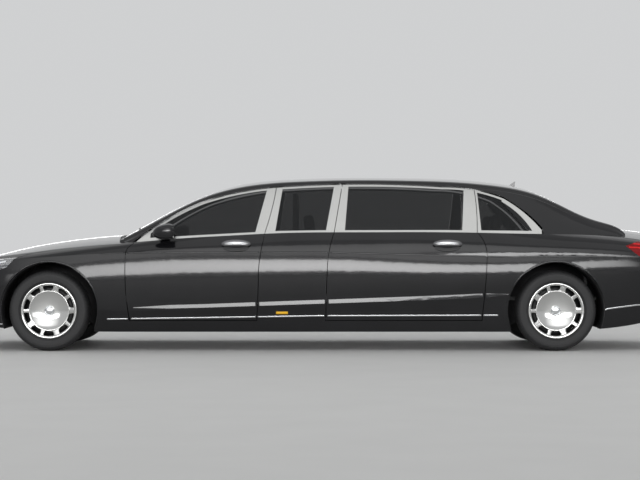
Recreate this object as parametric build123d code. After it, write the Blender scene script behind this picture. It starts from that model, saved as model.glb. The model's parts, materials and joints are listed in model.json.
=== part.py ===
"""Stretch limousine: a long black saloon with four doors and a fixed centre panel on each side.

Frame: X runs from the nose (-X) to the tail (+X), Y from the left side (-Y) to the right side (+Y),
Z up.  The origin is on the road, under the middle of the overall length and width.
All sizes are in millimetres.  The left half of each side piece is made, and the right half mirrors it.
"""

import math
import os
from collections import namedtuple

from build123d import *

# Driving dimensions of the whole car
WHEELBASE = 4418.0
FRONT_OVERHANG = 900.0
REAR_OVERHANG = 1182.0
BODY_WIDTH = 1900.0
ROOF_HEIGHT = 1537.0
BELT_HEIGHT = 1034.0
TRACK = 1624.0

# Wheels and tyres
TYRE_DIAMETER = 702.0
TYRE_WIDTH = 245.0
BEAD_DIAMETER = 457.0
FLANGE_HEIGHT = 17.5
RIM_WIDTH = 216.0
SLOT_COUNT = 10
BOWL_RADIUS = 160.0
DISC_DIAMETER = 370.0
DISC_THICKNESS = 32.0
ARCH_RADIUS = 425.0
ARCH_DEPTH = 450.0
STUB_RADIUS = 30.0
KINGPIN_RADIUS = 15.0
KINGPIN_INSET = 96.0

# Walls and gaps
PANEL_GAP = 6.0
SEAT_GAP = 0.3
SIDE_WALL = 110.0
FLOOR_WALL = 70.0
TOP_WALL = 35.0
FRAME_WALL = 60.0
GLASS_THICKNESS = 6.0
GLASS_INSET = 5.0
TRIM_WIDTH = 16.0

# Door lengths along the belt, measured from the two axles
AXLE_TO_FRONT_DOOR = 671.0
FRONT_DOOR_LENGTH = 1150.0
REAR_DOOR_LENGTH = 1381.0
REAR_DOOR_TO_AXLE = 607.0
DOOR_BOTTOM = 268.0
SILL_TOP = 262.0

HALF_WIDTH = BODY_WIDTH / 2
LENGTH = FRONT_OVERHANG + WHEELBASE + REAR_OVERHANG
X_NOSE = -LENGTH / 2
X_TAIL = LENGTH / 2
X_FRONT_AXLE = X_NOSE + FRONT_OVERHANG
X_REAR_AXLE = X_FRONT_AXLE + WHEELBASE
AXLE_HEIGHT = TYRE_DIAMETER / 2
GREENHOUSE = ROOF_HEIGHT - BELT_HEIGHT
REACH = 2 * BODY_WIDTH

# Hull sections, nose to tail.  "in" columns are insets from the half width, "z" columns heights
# above the road, "drop" columns depths below the belt, and "crown" the rise of the deck's middle.
HullRow = namedtuple(
    "HullRow",
    "x sill_in sill_z crease_in crease_z flank_in flank_z line_in line_z"
    " shoulder_in shoulder_drop deck_in deck_drop crown",
)
HULL_ROWS = [
    HullRow(X_NOSE + 10, 520, 250, 480, 400, 470, 540, 480, 690, 500, 304, 530, 272, 16),
    HullRow(X_FRONT_AXLE - 790, 310, 225, 260, 410, 242, 570, 260, 722, 285, 272, 330, 242, 24),
    HullRow(X_FRONT_AXLE - 420, 140, 200, 62, 390, 45, 600, 65, 783, 105, 222, 185, 206, 22),
    HullRow(X_FRONT_AXLE, 100, 172, 22, 385, 5, 620, 30, 819, 70, 179, 150, 149, 73),
    HullRow(X_FRONT_AXLE + 630, 92, 165, 25, 352, 1, 700, 18, 855, 42, 134, 90, 96, 74),
    HullRow(X_FRONT_AXLE + 1350, 90, 165, 24, 370, 0, 725, 13, 860, 33, 102, 70, 40, 20),
    HullRow(X_FRONT_AXLE + 0.53 * WHEELBASE, 90, 165, 23, 405, 0, 730, 13, 862, 32, 94, 68, 0, 12),
    HullRow(X_REAR_AXLE - 1068, 90, 165, 22, 440, 0, 735, 13, 836, 31, 96, 70, -2, 12),
    HullRow(X_REAR_AXLE - 368, 94, 165, 24, 470, 1, 735, 12, 820, 33, 94, 82, 10, 25),
    HullRow(X_REAR_AXLE + 282, 110, 180, 35, 495, 8, 730, 16, 822, 42, 104, 130, 22, 83),
    HullRow(X_REAR_AXLE + 722, 160, 235, 68, 520, 42, 720, 50, 815, 82, 122, 170, 59, 86),
    HullRow(X_REAR_AXLE + 1052, 260, 290, 170, 540, 144, 715, 150, 790, 168, 184, 230, 129, 80),
    HullRow(X_TAIL, 430, 310, 360, 545, 340, 700, 345, 770, 360, 219, 400, 184, 55),
]

# Greenhouse sections, cowl to boot.  "belt" columns place the foot of the side glass, "rail" and
# "crown" columns are shares of the height from belt to roof.
CabinRow = namedtuple("CabinRow", "x belt_in belt_drop rail crown")
CABIN_ROWS = [
    CabinRow(X_FRONT_AXLE + 560, 150, 154, -0.266, -0.097),
    CabinRow(X_FRONT_AXLE + 610, 138, 129, -0.207, -0.048),
    CabinRow(X_FRONT_AXLE + 919, 98, 72, 0.101, 0.292),
    CabinRow(X_FRONT_AXLE + 1294, 82, 43, 0.509, 0.658),
    CabinRow(X_FRONT_AXLE + 1670, 81, 25, 0.720, 0.881),
    CabinRow(X_FRONT_AXLE + 2045, 81, 8, 0.807, 0.966),
    CabinRow(X_FRONT_AXLE + 0.619 * WHEELBASE, 81, -3, 0.847, 1.0),
    CabinRow(X_REAR_AXLE - 1118, 82, -4, 0.827, 0.988),
    CabinRow(X_REAR_AXLE - 557, 88, 2, 0.751, 0.926),
    CabinRow(X_REAR_AXLE - 180, 105, 14, 0.598, 0.781),
    CabinRow(X_REAR_AXLE + 196, 138, 22, 0.274, 0.433),
    CabinRow(X_REAR_AXLE + 544, 195, 39, 0.012, 0.115),
    CabinRow(X_REAR_AXLE + 632, 215, 59, -0.068, 0.032),
]
TUMBLEHOME = 0.507
SIDE_BULGE = 10.0
RAIL_CORNER = 55.0
CABIN_FOOT = 30.0


def outline(place, start, *steps):
    """A closed face from a start point and steps: a point is a line, a pair (middle, end) an arc."""
    edges = []
    here = place(*start)
    for step in steps:
        if isinstance(step[0], tuple):
            middle, end = place(*step[0]), place(*step[1])
            edges.append(ThreePointArc(here, middle, end))
        else:
            end = place(*step)
            edges.append(Line(here, end))
        here = end
    first = place(*start)
    if (here - first).length > 1e-6:
        edges.append(Line(here, first))
    return Face(Wire(edges))


def side(x, z):
    """A point of the side view."""
    return Vector(x, 0, z)


def plan(x, y):
    """A point of the plan view."""
    return Vector(x, y, 0)


def through_left(face, inner=0.0):
    """A side-view face carried through the left half of the car, from outside to y = -inner."""
    return extrude(face.moved(Location((0, -REACH, 0))), REACH - inner, dir=(0, 1, 0))


def through_height(face):
    """A plan-view face carried up through the whole car."""
    return extrude(face, REACH, dir=(0, 0, 1))


def box(x0, x1, y0, y1, z0, z1):
    """A block between two corners."""
    return Pos((x0 + x1) / 2, (y0 + y1) / 2, (z0 + z1) / 2) * Box(x1 - x0, y1 - y0, z1 - z0)


def largest(shape):
    """The biggest solid of a shape."""
    return max(shape.solids(), key=lambda solid: solid.volume)


def both(left):
    """A left piece and its mirror image."""
    return Compound(children=[*left.solids(), *mirror(left, about=Plane.XZ).solids()])


def cylinder_y(x, y0, y1, z, radius):
    """A round bar along Y."""
    bar = Cylinder(radius, abs(y1 - y0), rotation=(90, 0, 0))
    return Pos(x, (y0 + y1) / 2, z) * bar


def cylinder_z(x, y, z0, z1, radius):
    """A round bar along Z."""
    return Pos(x, y, (z0 + z1) / 2) * Cylinder(radius, z1 - z0)


def slopes(xs, column):
    """Slopes of a curve through a table column that never swings past its points."""
    steps = [(b - a) / (x1 - x0) for a, b, x0, x1 in zip(column, column[1:], xs, xs[1:])]
    inner = []
    for i in range(1, len(steps)):
        before, after = steps[i - 1], steps[i]
        if before * after <= 0:
            inner.append(0.0)
            continue
        w0 = xs[i] - xs[i - 1] + 2 * (xs[i + 1] - xs[i])
        w1 = 2 * (xs[i] - xs[i - 1]) + xs[i + 1] - xs[i]
        inner.append((w0 + w1) / (w0 / before + w1 / after))
    return [steps[0], *inner, steps[-1]]


def blend(rows, count=18):
    """Evenly spaced rows between the first and the last row of a table."""
    xs = [row.x for row in rows]
    columns = list(zip(*rows))
    tangents = [slopes(xs, column) for column in columns]
    made = []
    for k in range(count):
        x = xs[0] + (xs[-1] - xs[0]) * k / (count - 1)
        i = min(sum(1 for known in xs[1:] if known <= x), len(xs) - 2)
        h = xs[i + 1] - xs[i]
        t = (x - xs[i]) / h
        values = [
            (1 + 2 * t) * (1 - t) ** 2 * c[i] + t * (1 - t) ** 2 * h * m[i]
            + t * t * (3 - 2 * t) * c[i + 1] + t * t * (t - 1) * h * m[i + 1]
            for c, m in zip(columns, tangents)
        ]
        made.append(type(rows[0])(x, *values[1:]))
    return made


def hull_section(row):
    """The outer section of the lower body at one station."""

    def at(sign, inset, z):
        return Vector(row.x, sign * (HALF_WIDTH - inset), z)

    left = [
        at(-1, row.sill_in, row.sill_z),
        at(-1, row.crease_in, row.crease_z),
        at(-1, row.flank_in, row.flank_z),
        at(-1, row.line_in, row.line_z),
        at(-1, row.shoulder_in, BELT_HEIGHT - row.shoulder_drop),
        at(-1, row.deck_in, BELT_HEIGHT - row.deck_drop),
    ]
    right = [Vector(p.X, -p.Y, p.Z) for p in left]
    crown = Vector(row.x, 0, BELT_HEIGHT - row.deck_drop + row.crown)
    return Face(
        Wire(
            [
                Line(right[0], left[0]),
                Line(left[0], left[1]),
                ThreePointArc(left[1], left[2], left[3]),
                ThreePointArc(left[3], left[4], left[5]),
                ThreePointArc(left[5], crown, right[5]),
                ThreePointArc(right[5], right[4], right[3]),
                ThreePointArc(right[3], right[2], right[1]),
                Line(right[1], right[0]),
            ]
        )
    )


def hull_inner_section(row):
    """The inside of the lower body at one station: flat walls, flat floor and a crowned top."""
    wall = HALF_WIDTH - row.flank_in - SIDE_WALL
    deck = BELT_HEIGHT - row.deck_drop - TOP_WALL
    shoulder = min(wall, HALF_WIDTH - row.deck_in - TOP_WALL / 3)
    floor = row.sill_z + FLOOR_WALL
    crown = Vector(row.x, 0, deck + row.crown)
    return Face(
        Wire(
            [
                Line((row.x, wall, floor), (row.x, -wall, floor)),
                Line((row.x, -wall, floor), (row.x, -shoulder, deck)),
                ThreePointArc((row.x, -shoulder, deck), crown, (row.x, shoulder, deck)),
                Line((row.x, shoulder, deck), (row.x, wall, floor)),
            ]
        )
    )


def cabin_section(row, inset):
    """The section of the greenhouse at one station, its skin moved inwards by inset."""
    belt_z = BELT_HEIGHT - row.belt_drop
    belt_y = HALF_WIDTH - row.belt_in - inset
    rail_z = BELT_HEIGHT + row.rail * GREENHOUSE
    rail_y = belt_y - TUMBLEHOME * (rail_z - belt_z)
    crown_z = BELT_HEIGHT + row.crown * GREENHOUSE - inset
    foot_y = belt_y + TUMBLEHOME * CABIN_FOOT
    foot_z = belt_z - CABIN_FOOT - inset / 2
    rail_z -= inset / 2
    corner_y = rail_y - RAIL_CORNER
    corner_z = (rail_z + crown_z) / 2
    base_z = foot_z - CABIN_FOOT / 2
    side_y = (foot_y + rail_y) / 2 + SIDE_BULGE
    side_z = (foot_z + rail_z) / 2 + SIDE_BULGE / 2
    bend_y = (rail_y + corner_y) / 2 + SIDE_BULGE
    bend_z = (rail_z + corner_z) / 2 + SIDE_BULGE

    def at(sign, y, z):
        return Vector(row.x, sign * y, z)

    return Face(
        Wire(
            [
                Line(at(1, foot_y, base_z), at(-1, foot_y, base_z)),
                Line(at(-1, foot_y, base_z), at(-1, foot_y, foot_z)),
                ThreePointArc(at(-1, foot_y, foot_z), at(-1, side_y, side_z), at(-1, rail_y, rail_z)),
                ThreePointArc(at(-1, rail_y, rail_z), at(-1, bend_y, bend_z), at(-1, corner_y, corner_z)),
                ThreePointArc(at(-1, corner_y, corner_z), at(0, 0, crown_z), at(1, corner_y, corner_z)),
                ThreePointArc(at(1, corner_y, corner_z), at(1, bend_y, bend_z), at(1, rail_y, rail_z)),
                ThreePointArc(at(1, rail_y, rail_z), at(1, side_y, side_z), at(1, foot_y, foot_z)),
                Line(at(1, foot_y, foot_z), at(1, foot_y, base_z)),
            ]
        )
    )


def cabin_solid(inset):
    """The greenhouse as a solid, its skin moved inwards by inset."""
    return loft([cabin_section(row, inset) for row in blend(CABIN_ROWS)])


hull = loft([hull_section(row) for row in blend(HULL_ROWS)])
hull_inner = loft([hull_inner_section(row) for row in blend(HULL_ROWS[1:-1])])
cabin = cabin_solid(0.0)
cabin_inner = cabin_solid(FRAME_WALL)
lower_shell = hull - hull_inner - cabin_inner
upper_shell = cabin - cabin_inner - hull
glass_shell = cabin_solid(GLASS_INSET) - cabin_solid(GLASS_INSET + GLASS_THICKNESS)

# Edges of the doors in side view, as offsets from each door's waist line, bottom to top
FA = X_FRONT_AXLE
RA = X_REAR_AXLE
HIGH = ROOF_HEIGHT + 163.0
LEAD_FRONT = FA + AXLE_TO_FRONT_DOOR
TRAIL_FRONT = LEAD_FRONT + FRONT_DOOR_LENGTH
TRAIL_REAR = RA - REAR_DOOR_TO_AXLE
LEAD_REAR = TRAIL_REAR - REAR_DOOR_LENGTH
BEVEL_LOW = 0.17
BEVEL_BELT = 0.20
BEVEL_HIGH = 0.40
SKIN_LOW = 10.0
SKIN_HIGH = 416.0
CUT_OUT = 150.0
CUT_IN = -500.0


def greenhouse(share):
    """A height given as a share of the way from the belt to the roof."""
    return BELT_HEIGHT + share * GREENHOUSE


def door_face(lead, trail, grow, depth):
    """A door's outline in side view at a depth inside the half width, grown by grow all round."""

    def back(x, skin, bevel):
        return x + grow - bevel * (depth - skin)

    steps = [lead["bottom"], lead["mid"], lead["waist"], lead["bend"], lead["belt"], lead["top"]]
    a, b, c, d, e, f = [(x - grow, z) for x, z in steps]
    top = (back(trail["top"][0], SKIN_HIGH, BEVEL_HIGH), HIGH)
    belt = (back(trail["belt"][0], SKIN_LOW, BEVEL_BELT), trail["belt"][1])
    bend = (back(trail["bend"][0], SKIN_LOW, BEVEL_LOW), trail["bend"][1])
    waist = (back(trail["waist"][0], SKIN_LOW, BEVEL_LOW), trail["waist"][1])
    mid = (back(trail["mid"][0], SKIN_LOW, BEVEL_LOW), trail["mid"][1])
    bottom = (back(trail["bottom"][0], SKIN_LOW, BEVEL_LOW), DOOR_BOTTOM - grow)
    face = outline(
        side, (a[0], DOOR_BOTTOM - grow), (b, c), (d, e), f, top, belt, (bend, waist), (mid, bottom)
    )
    return face.moved(Location((0, -(HALF_WIDTH - depth), 0)))


def door_block(lead, trail, grow):
    """The block a left door is cut with; its rear face slants so that the door swings clear."""
    faces = [door_face(lead, trail, grow, depth) for depth in (-CUT_OUT, -CUT_IN)]
    return loft(faces, ruled=True)


FRONT_LEAD = {
    "bottom": (LEAD_FRONT + 34, DOOR_BOTTOM),
    "mid": (LEAD_FRONT, 600.0),
    "waist": (LEAD_FRONT + 1, 840.0),
    "bend": (LEAD_FRONT + 19, 895.0),
    "belt": (LEAD_FRONT + 66, 936.0),
    "top": (LEAD_FRONT - 400, HIGH),
}
FRONT_TRAIL = {
    "bottom": (TRAIL_FRONT - 6, DOOR_BOTTOM),
    "mid": (TRAIL_FRONT - 3, 480.0),
    "waist": (TRAIL_FRONT, 690.0),
    "bend": (TRAIL_FRONT + 22, 859.0),
    "belt": (TRAIL_FRONT + 72, BELT_HEIGHT),
    "top": (TRAIL_FRONT + 193, HIGH),
}
REAR_LEAD = {
    "bottom": (LEAD_REAR - 16, DOOR_BOTTOM),
    "mid": (LEAD_REAR - 11, 480.0),
    "waist": (LEAD_REAR - 3, 700.0),
    "bend": (LEAD_REAR + 20, 897.0),
    "belt": (LEAD_REAR + 58, BELT_HEIGHT),
    "top": (LEAD_REAR + 174, HIGH),
}
REAR_TRAIL = {
    "bottom": (TRAIL_REAR - 30, DOOR_BOTTOM),
    "mid": (TRAIL_REAR - 17, 540.0),
    "waist": (TRAIL_REAR, 816.0),
    "bend": (TRAIL_REAR - 18, 945.0),
    "belt": (TRAIL_REAR - 66, BELT_HEIGHT),
    "top": (TRAIL_REAR - 127, HIGH),
}
HINGE_HEIGHTS = (430.0, 760.0)
DOORS = {"front": (FRONT_LEAD, FRONT_TRAIL), "rear": (REAR_LEAD, REAR_TRAIL)}
door_blocks = {name: door_block(*edges, 0.0) for name, edges in DOORS.items()}
door_holes = {name: door_block(*edges, PANEL_GAP) for name, edges in DOORS.items()}

# The side-window outline, from the pillar foot along the roof rail to its rear tip
TOP_GAP = 13.0
DEEP = BELT_HEIGHT - 120.0


def window_band(grow):
    """The outline of all side windows together, grown upwards and endwise by grow."""

    def at(x, share):
        return (x, greenhouse(share) + grow)

    return outline(
        side,
        (FA + 732 - grow, DEEP),
        at(FA + 732 - grow, -0.203),
        (at(FA + 1000 - grow * 0.6, 0.191), at(FA + 1337 - grow * 0.3, 0.529)),
        (at(FA + 1698, 0.712), at(FA + 2058, 0.793)),
        (at(RA - 1698, 0.837), at(RA - 978, 0.789)),
        (at(RA - 690 + grow * 0.2, 0.738), at(RA - 439 + grow * 0.5, 0.590)),
        (at(RA - 263 + grow * 0.7, 0.340), at(RA - 118 + grow, 0.040)),
        (RA - 118 + grow, DEEP),
    )


band = through_left(window_band(0.0))
band_hole = through_left(window_band(TOP_GAP))

# Panes in side view: x at the belt and x at the roof rail of the front and rear edges
Pane = namedtuple("Pane", "lead_low lead_high trail_low trail_high")
PANES = {
    "front": Pane(FA + 880, FA + 900, TRAIL_FRONT - 25, TRAIL_FRONT + 80),
    "centre": Pane(TRAIL_FRONT + 148, TRAIL_FRONT + 213, LEAD_REAR - 20, LEAD_REAR + 55),
    "rear": Pane(LEAD_REAR + 147, LEAD_REAR + 182, TRAIL_REAR - 209, TRAIL_REAR - 179),
    "quarter": Pane(TRAIL_REAR - 40, TRAIL_REAR - 68, RA - 150, RA - 150),
}
belt_line = outline(
    side,
    (FA + 700, HIGH),
    (FA + 700, BELT_HEIGHT - 58),
    (FA + 1350, BELT_HEIGHT - 22),
    (FA + 2000, BELT_HEIGHT + 12),
    (FA + 0.53 * WHEELBASE, BELT_HEIGHT + 18),
    (RA - 1000, BELT_HEIGHT + 20),
    (RA - 300, BELT_HEIGHT + 14),
    (RA - 100, BELT_HEIGHT + 6),
    (RA - 100, HIGH),
)
belt_block = through_left(belt_line)
pane_limit = through_left(window_band(-TRIM_WIDTH)) & belt_block


def pane_block(pane, grow):
    """The block of one window opening, grown by grow at its upright edges."""
    low, high = BELT_HEIGHT, greenhouse(0.8)

    def along(x_low, x_high, z, shift):
        return (x_low + (x_high - x_low) * (z - low) / (high - low) + shift, z)

    quad = outline(
        side,
        along(pane.lead_low, pane.lead_high, DEEP, -grow),
        along(pane.lead_low, pane.lead_high, HIGH, -grow),
        along(pane.trail_low, pane.trail_high, HIGH, grow),
        along(pane.trail_low, pane.trail_high, DEEP, grow),
    )
    return through_left(quad) & pane_limit


QUARTER_TRAIL = [(RA - 226, 0.009), (RA - 335, 0.275), (RA - 457, 0.54)]


def quarter_limit(grow):
    """The block ahead of the quarter window's curved rear edge, moved back by grow."""
    low, middle, high = [(x + grow, greenhouse(share)) for x, share in QUARTER_TRAIL]
    ahead = TRAIL_REAR - 250
    face = outline(side, (low[0], DEEP), low, (middle, high), (high[0], HIGH), (ahead, HIGH), (ahead, DEEP))
    return through_left(face)


window_holes = {name: pane_block(pane, 0.0) for name, pane in PANES.items()}
window_holes["quarter"] = window_holes["quarter"] & quarter_limit(0.0)

# Openings and lids in plan view
HOOD_REAR = FA + 602
HOOD_BOW = 40.0
above_lamps = box(X_NOSE - 20, X_TAIL + 50, -REACH, REACH, 600, HIGH)


def hood_block(grow):
    """The block the hood is cut with, grown by grow."""
    top = outline(
        plan,
        (FA - 306, -884 - grow),
        (FA, -822 - grow),
        (HOOD_REAR, -802 - grow),
        (HOOD_REAR + grow, -760),
        ((HOOD_REAR - HOOD_BOW + grow, 0), (HOOD_REAR + grow, 760)),
        (HOOD_REAR, 802 + grow),
        (FA, 822 + grow),
        (FA - 306, 884 + grow),
    )
    nose = outline(
        side,
        (X_NOSE - 20, 748 - grow),
        (FA - 790, 778 - grow),
        (FA - 305, 812 - grow),
        (FA - 305, 1200),
        (X_NOSE - 20, 1200),
    )
    lip = outline(
        side,
        (X_NOSE - 20, 700 - grow),
        (FA - 305, 770 - grow),
        (FA, 815 - grow),
        (FA + 800, 885 - grow),
        (FA + 800, 1200),
        (X_NOSE - 20, 1200),
    )
    deck = through_height(top) & extrude(lip, REACH / 2, dir=(0, 1, 0), both=True)
    return deck + extrude(nose, REACH / 2, dir=(0, 1, 0), both=True)


BOOT_FRONT = RA + 578
BOOT_HALF = 552.0


def boot_block(grow):
    """The block the boot lid is cut with, grown by grow."""
    top = outline(
        plan,
        (X_TAIL + 50, -BOOT_HALF - grow),
        (BOOT_FRONT + 16 - grow, -BOOT_HALF - grow),
        ((BOOT_FRONT - grow, 0), (BOOT_FRONT + 16 - grow, BOOT_HALF + grow)),
        (X_TAIL + 50, BOOT_HALF + grow),
    )
    return through_height(top) & above_lamps


def lamp_block(grow, inner, points):
    """A lamp's block behind a side-view outline, outboard of inner, grown by grow."""
    face = outline(side, *points)
    if grow:
        face = offset(face, grow, kind=Kind.INTERSECTION)
    return through_left(face, inner - grow)


HEADLAMP_INNER = 425.0
HEADLAMP = [
    (X_NOSE - 20, 735),
    (FA - 790, 766),
    (FA - 305, 802),
    (FA - 372, 727),
    (FA - 650, 650),
    (X_NOSE - 20, 615),
]
TAILLAMP_INNER = BOOT_HALF + PANEL_GAP + 2
TAILLAMP = [
    (RA + 608, 915),
    (RA + 722, 955),
    (RA + 1052, 893),
    (X_TAIL + 50, 820),
    (X_TAIL + 50, 738),
    (RA + 722, 828),
]
front_bumper_face = outline(
    side,
    (X_NOSE - 20, 0),
    (X_NOSE - 20, 612),
    (FA - 650, 647),
    (FA - 372, 724),
    (FA - 240, 690),
    (FA - 240, 0),
)
rear_bumper_face = outline(
    side, (RA + 240, 0), (RA + 240, 628), (RA + 722, 695), (X_TAIL + 50, 732), (X_TAIL + 50, 0)
)


def through(face):
    """A side-view face carried through the whole width."""
    return extrude(face, REACH / 2, dir=(0, 1, 0), both=True)


def wheel_well(x, radius):
    """The round wheel openings of one axle, both sides."""
    left = cylinder_y(x, -REACH, -(HALF_WIDTH - ARCH_DEPTH), AXLE_HEIGHT, radius)
    return left + mirror(left, about=Plane.XZ)


arches = wheel_well(FA, ARCH_RADIUS) + wheel_well(RA, ARCH_RADIUS)
front_bumper_block = through(front_bumper_face)
front_bumper_hole = through(offset(front_bumper_face, SEAT_GAP, kind=Kind.INTERSECTION))
rear_bumper_block = through(rear_bumper_face)
rear_bumper_hole = through(offset(rear_bumper_face, SEAT_GAP, kind=Kind.INTERSECTION))

# The upright grille and its opening in front view
GRILLE_TOP = 764.0
GRILLE_BOTTOM = 430.0
GRILLE_HALF_TOP = 385.0
GRILLE_HALF_BOTTOM = 340.0
GRILLE_DEPTH = 62.0
GRILLE_FRAME = 26.0
SLAT_COUNT = 4


def grille_face(grow):
    """The grille's outline in front view."""
    t, b = GRILLE_HALF_TOP + grow, GRILLE_HALF_BOTTOM + grow
    z1, z0 = GRILLE_TOP + grow, GRILLE_BOTTOM - grow
    r = 40.0

    def front(y, z):
        return Vector(X_NOSE, y, z)

    k = 0.3 * r
    return outline(
        front,
        (-b + r, z0),
        (b - r, z0),
        ((b - k, z0 + k), (b + 0.135 * r, z0 + r)),
        (t - 0.135 * r, z1 - r),
        ((t - k, z1 - k), (t - r, z1)),
        (-t + r, z1),
        ((-t + k, z1 - k), (-t + 0.135 * r, z1 - r)),
        (-b - 0.135 * r, z0 + r),
        ((-b + k, z0 + k), (-b + r, z0)),
    )


def grille_block(grow, depth):
    """The grille's outline carried back into the nose."""
    return extrude(grille_face(grow), depth, dir=(1, 0, 0))


grille_hole = grille_block(SEAT_GAP, 200).moved(Location((-20, 0, 0)))
intake = box(X_NOSE - 20, X_NOSE + 60, -520, 520, 285, 385)

nodes = {}

# Front panels
hood_core = lower_shell & hood_block(0.0)
hood_hole = hood_block(PANEL_GAP)
hood_front = grille_block(10.0, 240).moved(Location((-20, 0, 0)))
lamp_clear = lamp_block(2 * PANEL_GAP, HEADLAMP_INNER, HEADLAMP)
nodes["hood"] = largest(hood_core - hood_front - lamp_clear - mirror(lamp_clear, about=Plane.XZ))
headlamp_left = lower_shell & lamp_block(0.0, HEADLAMP_INNER, HEADLAMP)
headlamp_hole = lamp_block(SEAT_GAP, HEADLAMP_INNER, HEADLAMP)
nodes["headlamps"] = both(headlamp_left)
under_nose = box(FA - 740, FA, -690, 690, 0, 330)
nodes["front_bumper"] = (lower_shell & front_bumper_block) - arches - grille_hole - intake - under_nose

cowl_strip = through_height(
    outline(
        plan,
        (HOOD_REAR + PANEL_GAP, -796),
        (HOOD_REAR + PANEL_GAP, -760),
        ((HOOD_REAR - HOOD_BOW + PANEL_GAP, 0), (HOOD_REAR + PANEL_GAP, 760)),
        (HOOD_REAR + PANEL_GAP, 796),
        (FA + 735, 770),
        ((FA + 660, 0), (FA + 735, -770)),
    )
)
nodes["cowl"] = largest(lower_shell & cowl_strip & above_lamps)

fender_zone = box(FA - 400, LEAD_FRONT + 120, -REACH, 0, SILL_TOP + SEAT_GAP, HIGH)
cowl_hole = box(FA + 500, FA + 900, -796.3, 0, 0, HIGH)
fender = lower_shell & fender_zone
for tool in (arches, hood_hole, headlamp_hole, front_bumper_hole, door_holes["front"], cowl_hole):
    fender = fender - tool


def hinges(name):
    """The two hinge blocks that carry a left door at its leading edge."""
    x = DOORS[name][0]["waist"][0]
    y0, y1 = -(HALF_WIDTH - 30), -(HALF_WIDTH - 80)
    blocks = [box(x - 40, x + 20, y0, y1, z, z + 70) for z in HINGE_HEIGHTS]
    return [block - door_block(*DOORS[name], SEAT_GAP) for block in blocks]


def liner(x, keep_out):
    """The wheel-house lining of one left wheel."""
    y0, y1 = -(HALF_WIDTH - ARCH_DEPTH + 8), -(HALF_WIDTH - 70)
    ring = cylinder_y(x, y0, y1, AXLE_HEIGHT, ARCH_RADIUS + 8)
    ring = ring - cylinder_y(x, y0, y1, AXLE_HEIGHT, ARCH_RADIUS)
    ring = ring & box(x - 600, x + 600, -REACH, 0, AXLE_HEIGHT + 40, HIGH)
    return ring - keep_out


nodes["fender_left"] = largest(fender + liner(FA, front_bumper_hole) + hinges("front"))

# Rear panels
boot_core = lower_shell & boot_block(0.0)
taillamp_left = lower_shell & lamp_block(0.0, TAILLAMP_INNER, TAILLAMP)
taillamp_seat = lamp_block(SEAT_GAP, TAILLAMP_INNER, TAILLAMP)
nodes["taillamps"] = both(taillamp_left)
nodes["boot_lid"] = boot_core - through(offset(rear_bumper_face, PANEL_GAP, kind=Kind.INTERSECTION))
under_tail = box(RA, RA + 1020, -660, 660, 0, 420)
PLATE_HALF, PLATE_LOW, PLATE_HIGH, PLATE_DEPTH = 270.0, 565.0, 690.0, 16.0
plate_recess = box(X_TAIL - PLATE_DEPTH, X_TAIL + 10, -PLATE_HALF, PLATE_HALF, PLATE_LOW, PLATE_HIGH)
TIP_Y, TIP_Z = 410.0, 372.0
TIP_WIDTH, TIP_HEIGHT, TIP_WALL = 170.0, 58.0, 4.0
TIP_INSET = 12.0


def tail_bar(sign, x0, x1, grow):
    """A rounded bar along X round one tail pipe, grown by grow."""
    width, height = TIP_WIDTH + 2 * grow, TIP_HEIGHT + 2 * grow
    section = Plane(origin=(x0, sign * TIP_Y, TIP_Z), x_dir=(0, 1, 0), z_dir=(1, 0, 0))
    return extrude(section * RectangleRounded(width, height, 0.42 * height), x1 - x0)


rear_bumper = (lower_shell & rear_bumper_block) - arches - under_tail - plate_recess
for sign in (-1, 1):
    rear_bumper = rear_bumper - tail_bar(sign, RA + 1000, X_TAIL + 10, PANEL_GAP)
nodes["rear_bumper"] = rear_bumper

# Glass openings and the roof panel in plan view
WINDSCREEN_TOP = FA + 1450
BACKLIGHT_TOP = RA - 178


def windscreen_block(grow):
    """The windscreen opening in plan view."""
    return through_height(
        outline(
            plan,
            (FA + 640 - grow, -775 - grow),
            ((FA + 560 - grow, 0), (FA + 640 - grow, 775 + grow)),
            ((FA + 1070, 700 + grow), (WINDSCREEN_TOP + grow, 616 + grow)),
            ((WINDSCREEN_TOP + 24 + grow, 0), (WINDSCREEN_TOP + grow, -616 - grow)),
            ((FA + 1070, -700 - grow), (FA + 640 - grow, -775 - grow)),
        )
    )


def backlight_block(grow):
    """The rear-window opening in plan view."""
    return through_height(
        outline(
            plan,
            (BACKLIGHT_TOP - grow, -604 - grow),
            ((RA + 196, -650 - grow), (BOOT_FRONT - 44 + grow, -640 - grow)),
            ((BOOT_FRONT - 22 + grow, 0), (BOOT_FRONT - 44 + grow, 640 + grow)),
            ((RA + 196, 650 + grow), (BACKLIGHT_TOP - grow, 604 + grow)),
            ((BACKLIGHT_TOP - 24 - grow, 0), (BACKLIGHT_TOP - grow, -604 - grow)),
        )
    )


def roof_block(grow):
    """The roof panel in plan view, between the two glass openings."""
    return through_height(
        outline(
            plan,
            (WINDSCREEN_TOP, -616 - grow),
            ((WINDSCREEN_TOP + 24, 0), (WINDSCREEN_TOP, 616 + grow)),
            ((FA + 0.6 * WHEELBASE, 592 + grow), (BACKLIGHT_TOP, 604 + grow)),
            ((BACKLIGHT_TOP - 24, 0), (BACKLIGHT_TOP, -604 - grow)),
            ((FA + 0.6 * WHEELBASE, -592 - grow), (WINDSCREEN_TOP, -616 - grow)),
        )
    )


high_zone = box(X_NOSE, X_TAIL, -REACH, REACH, BELT_HEIGHT + 60, HIGH)
roof = (upper_shell & roof_block(-SEAT_GAP)) & high_zone
roof = roof - band_hole - mirror(band_hole, about=Plane.XZ)

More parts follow.
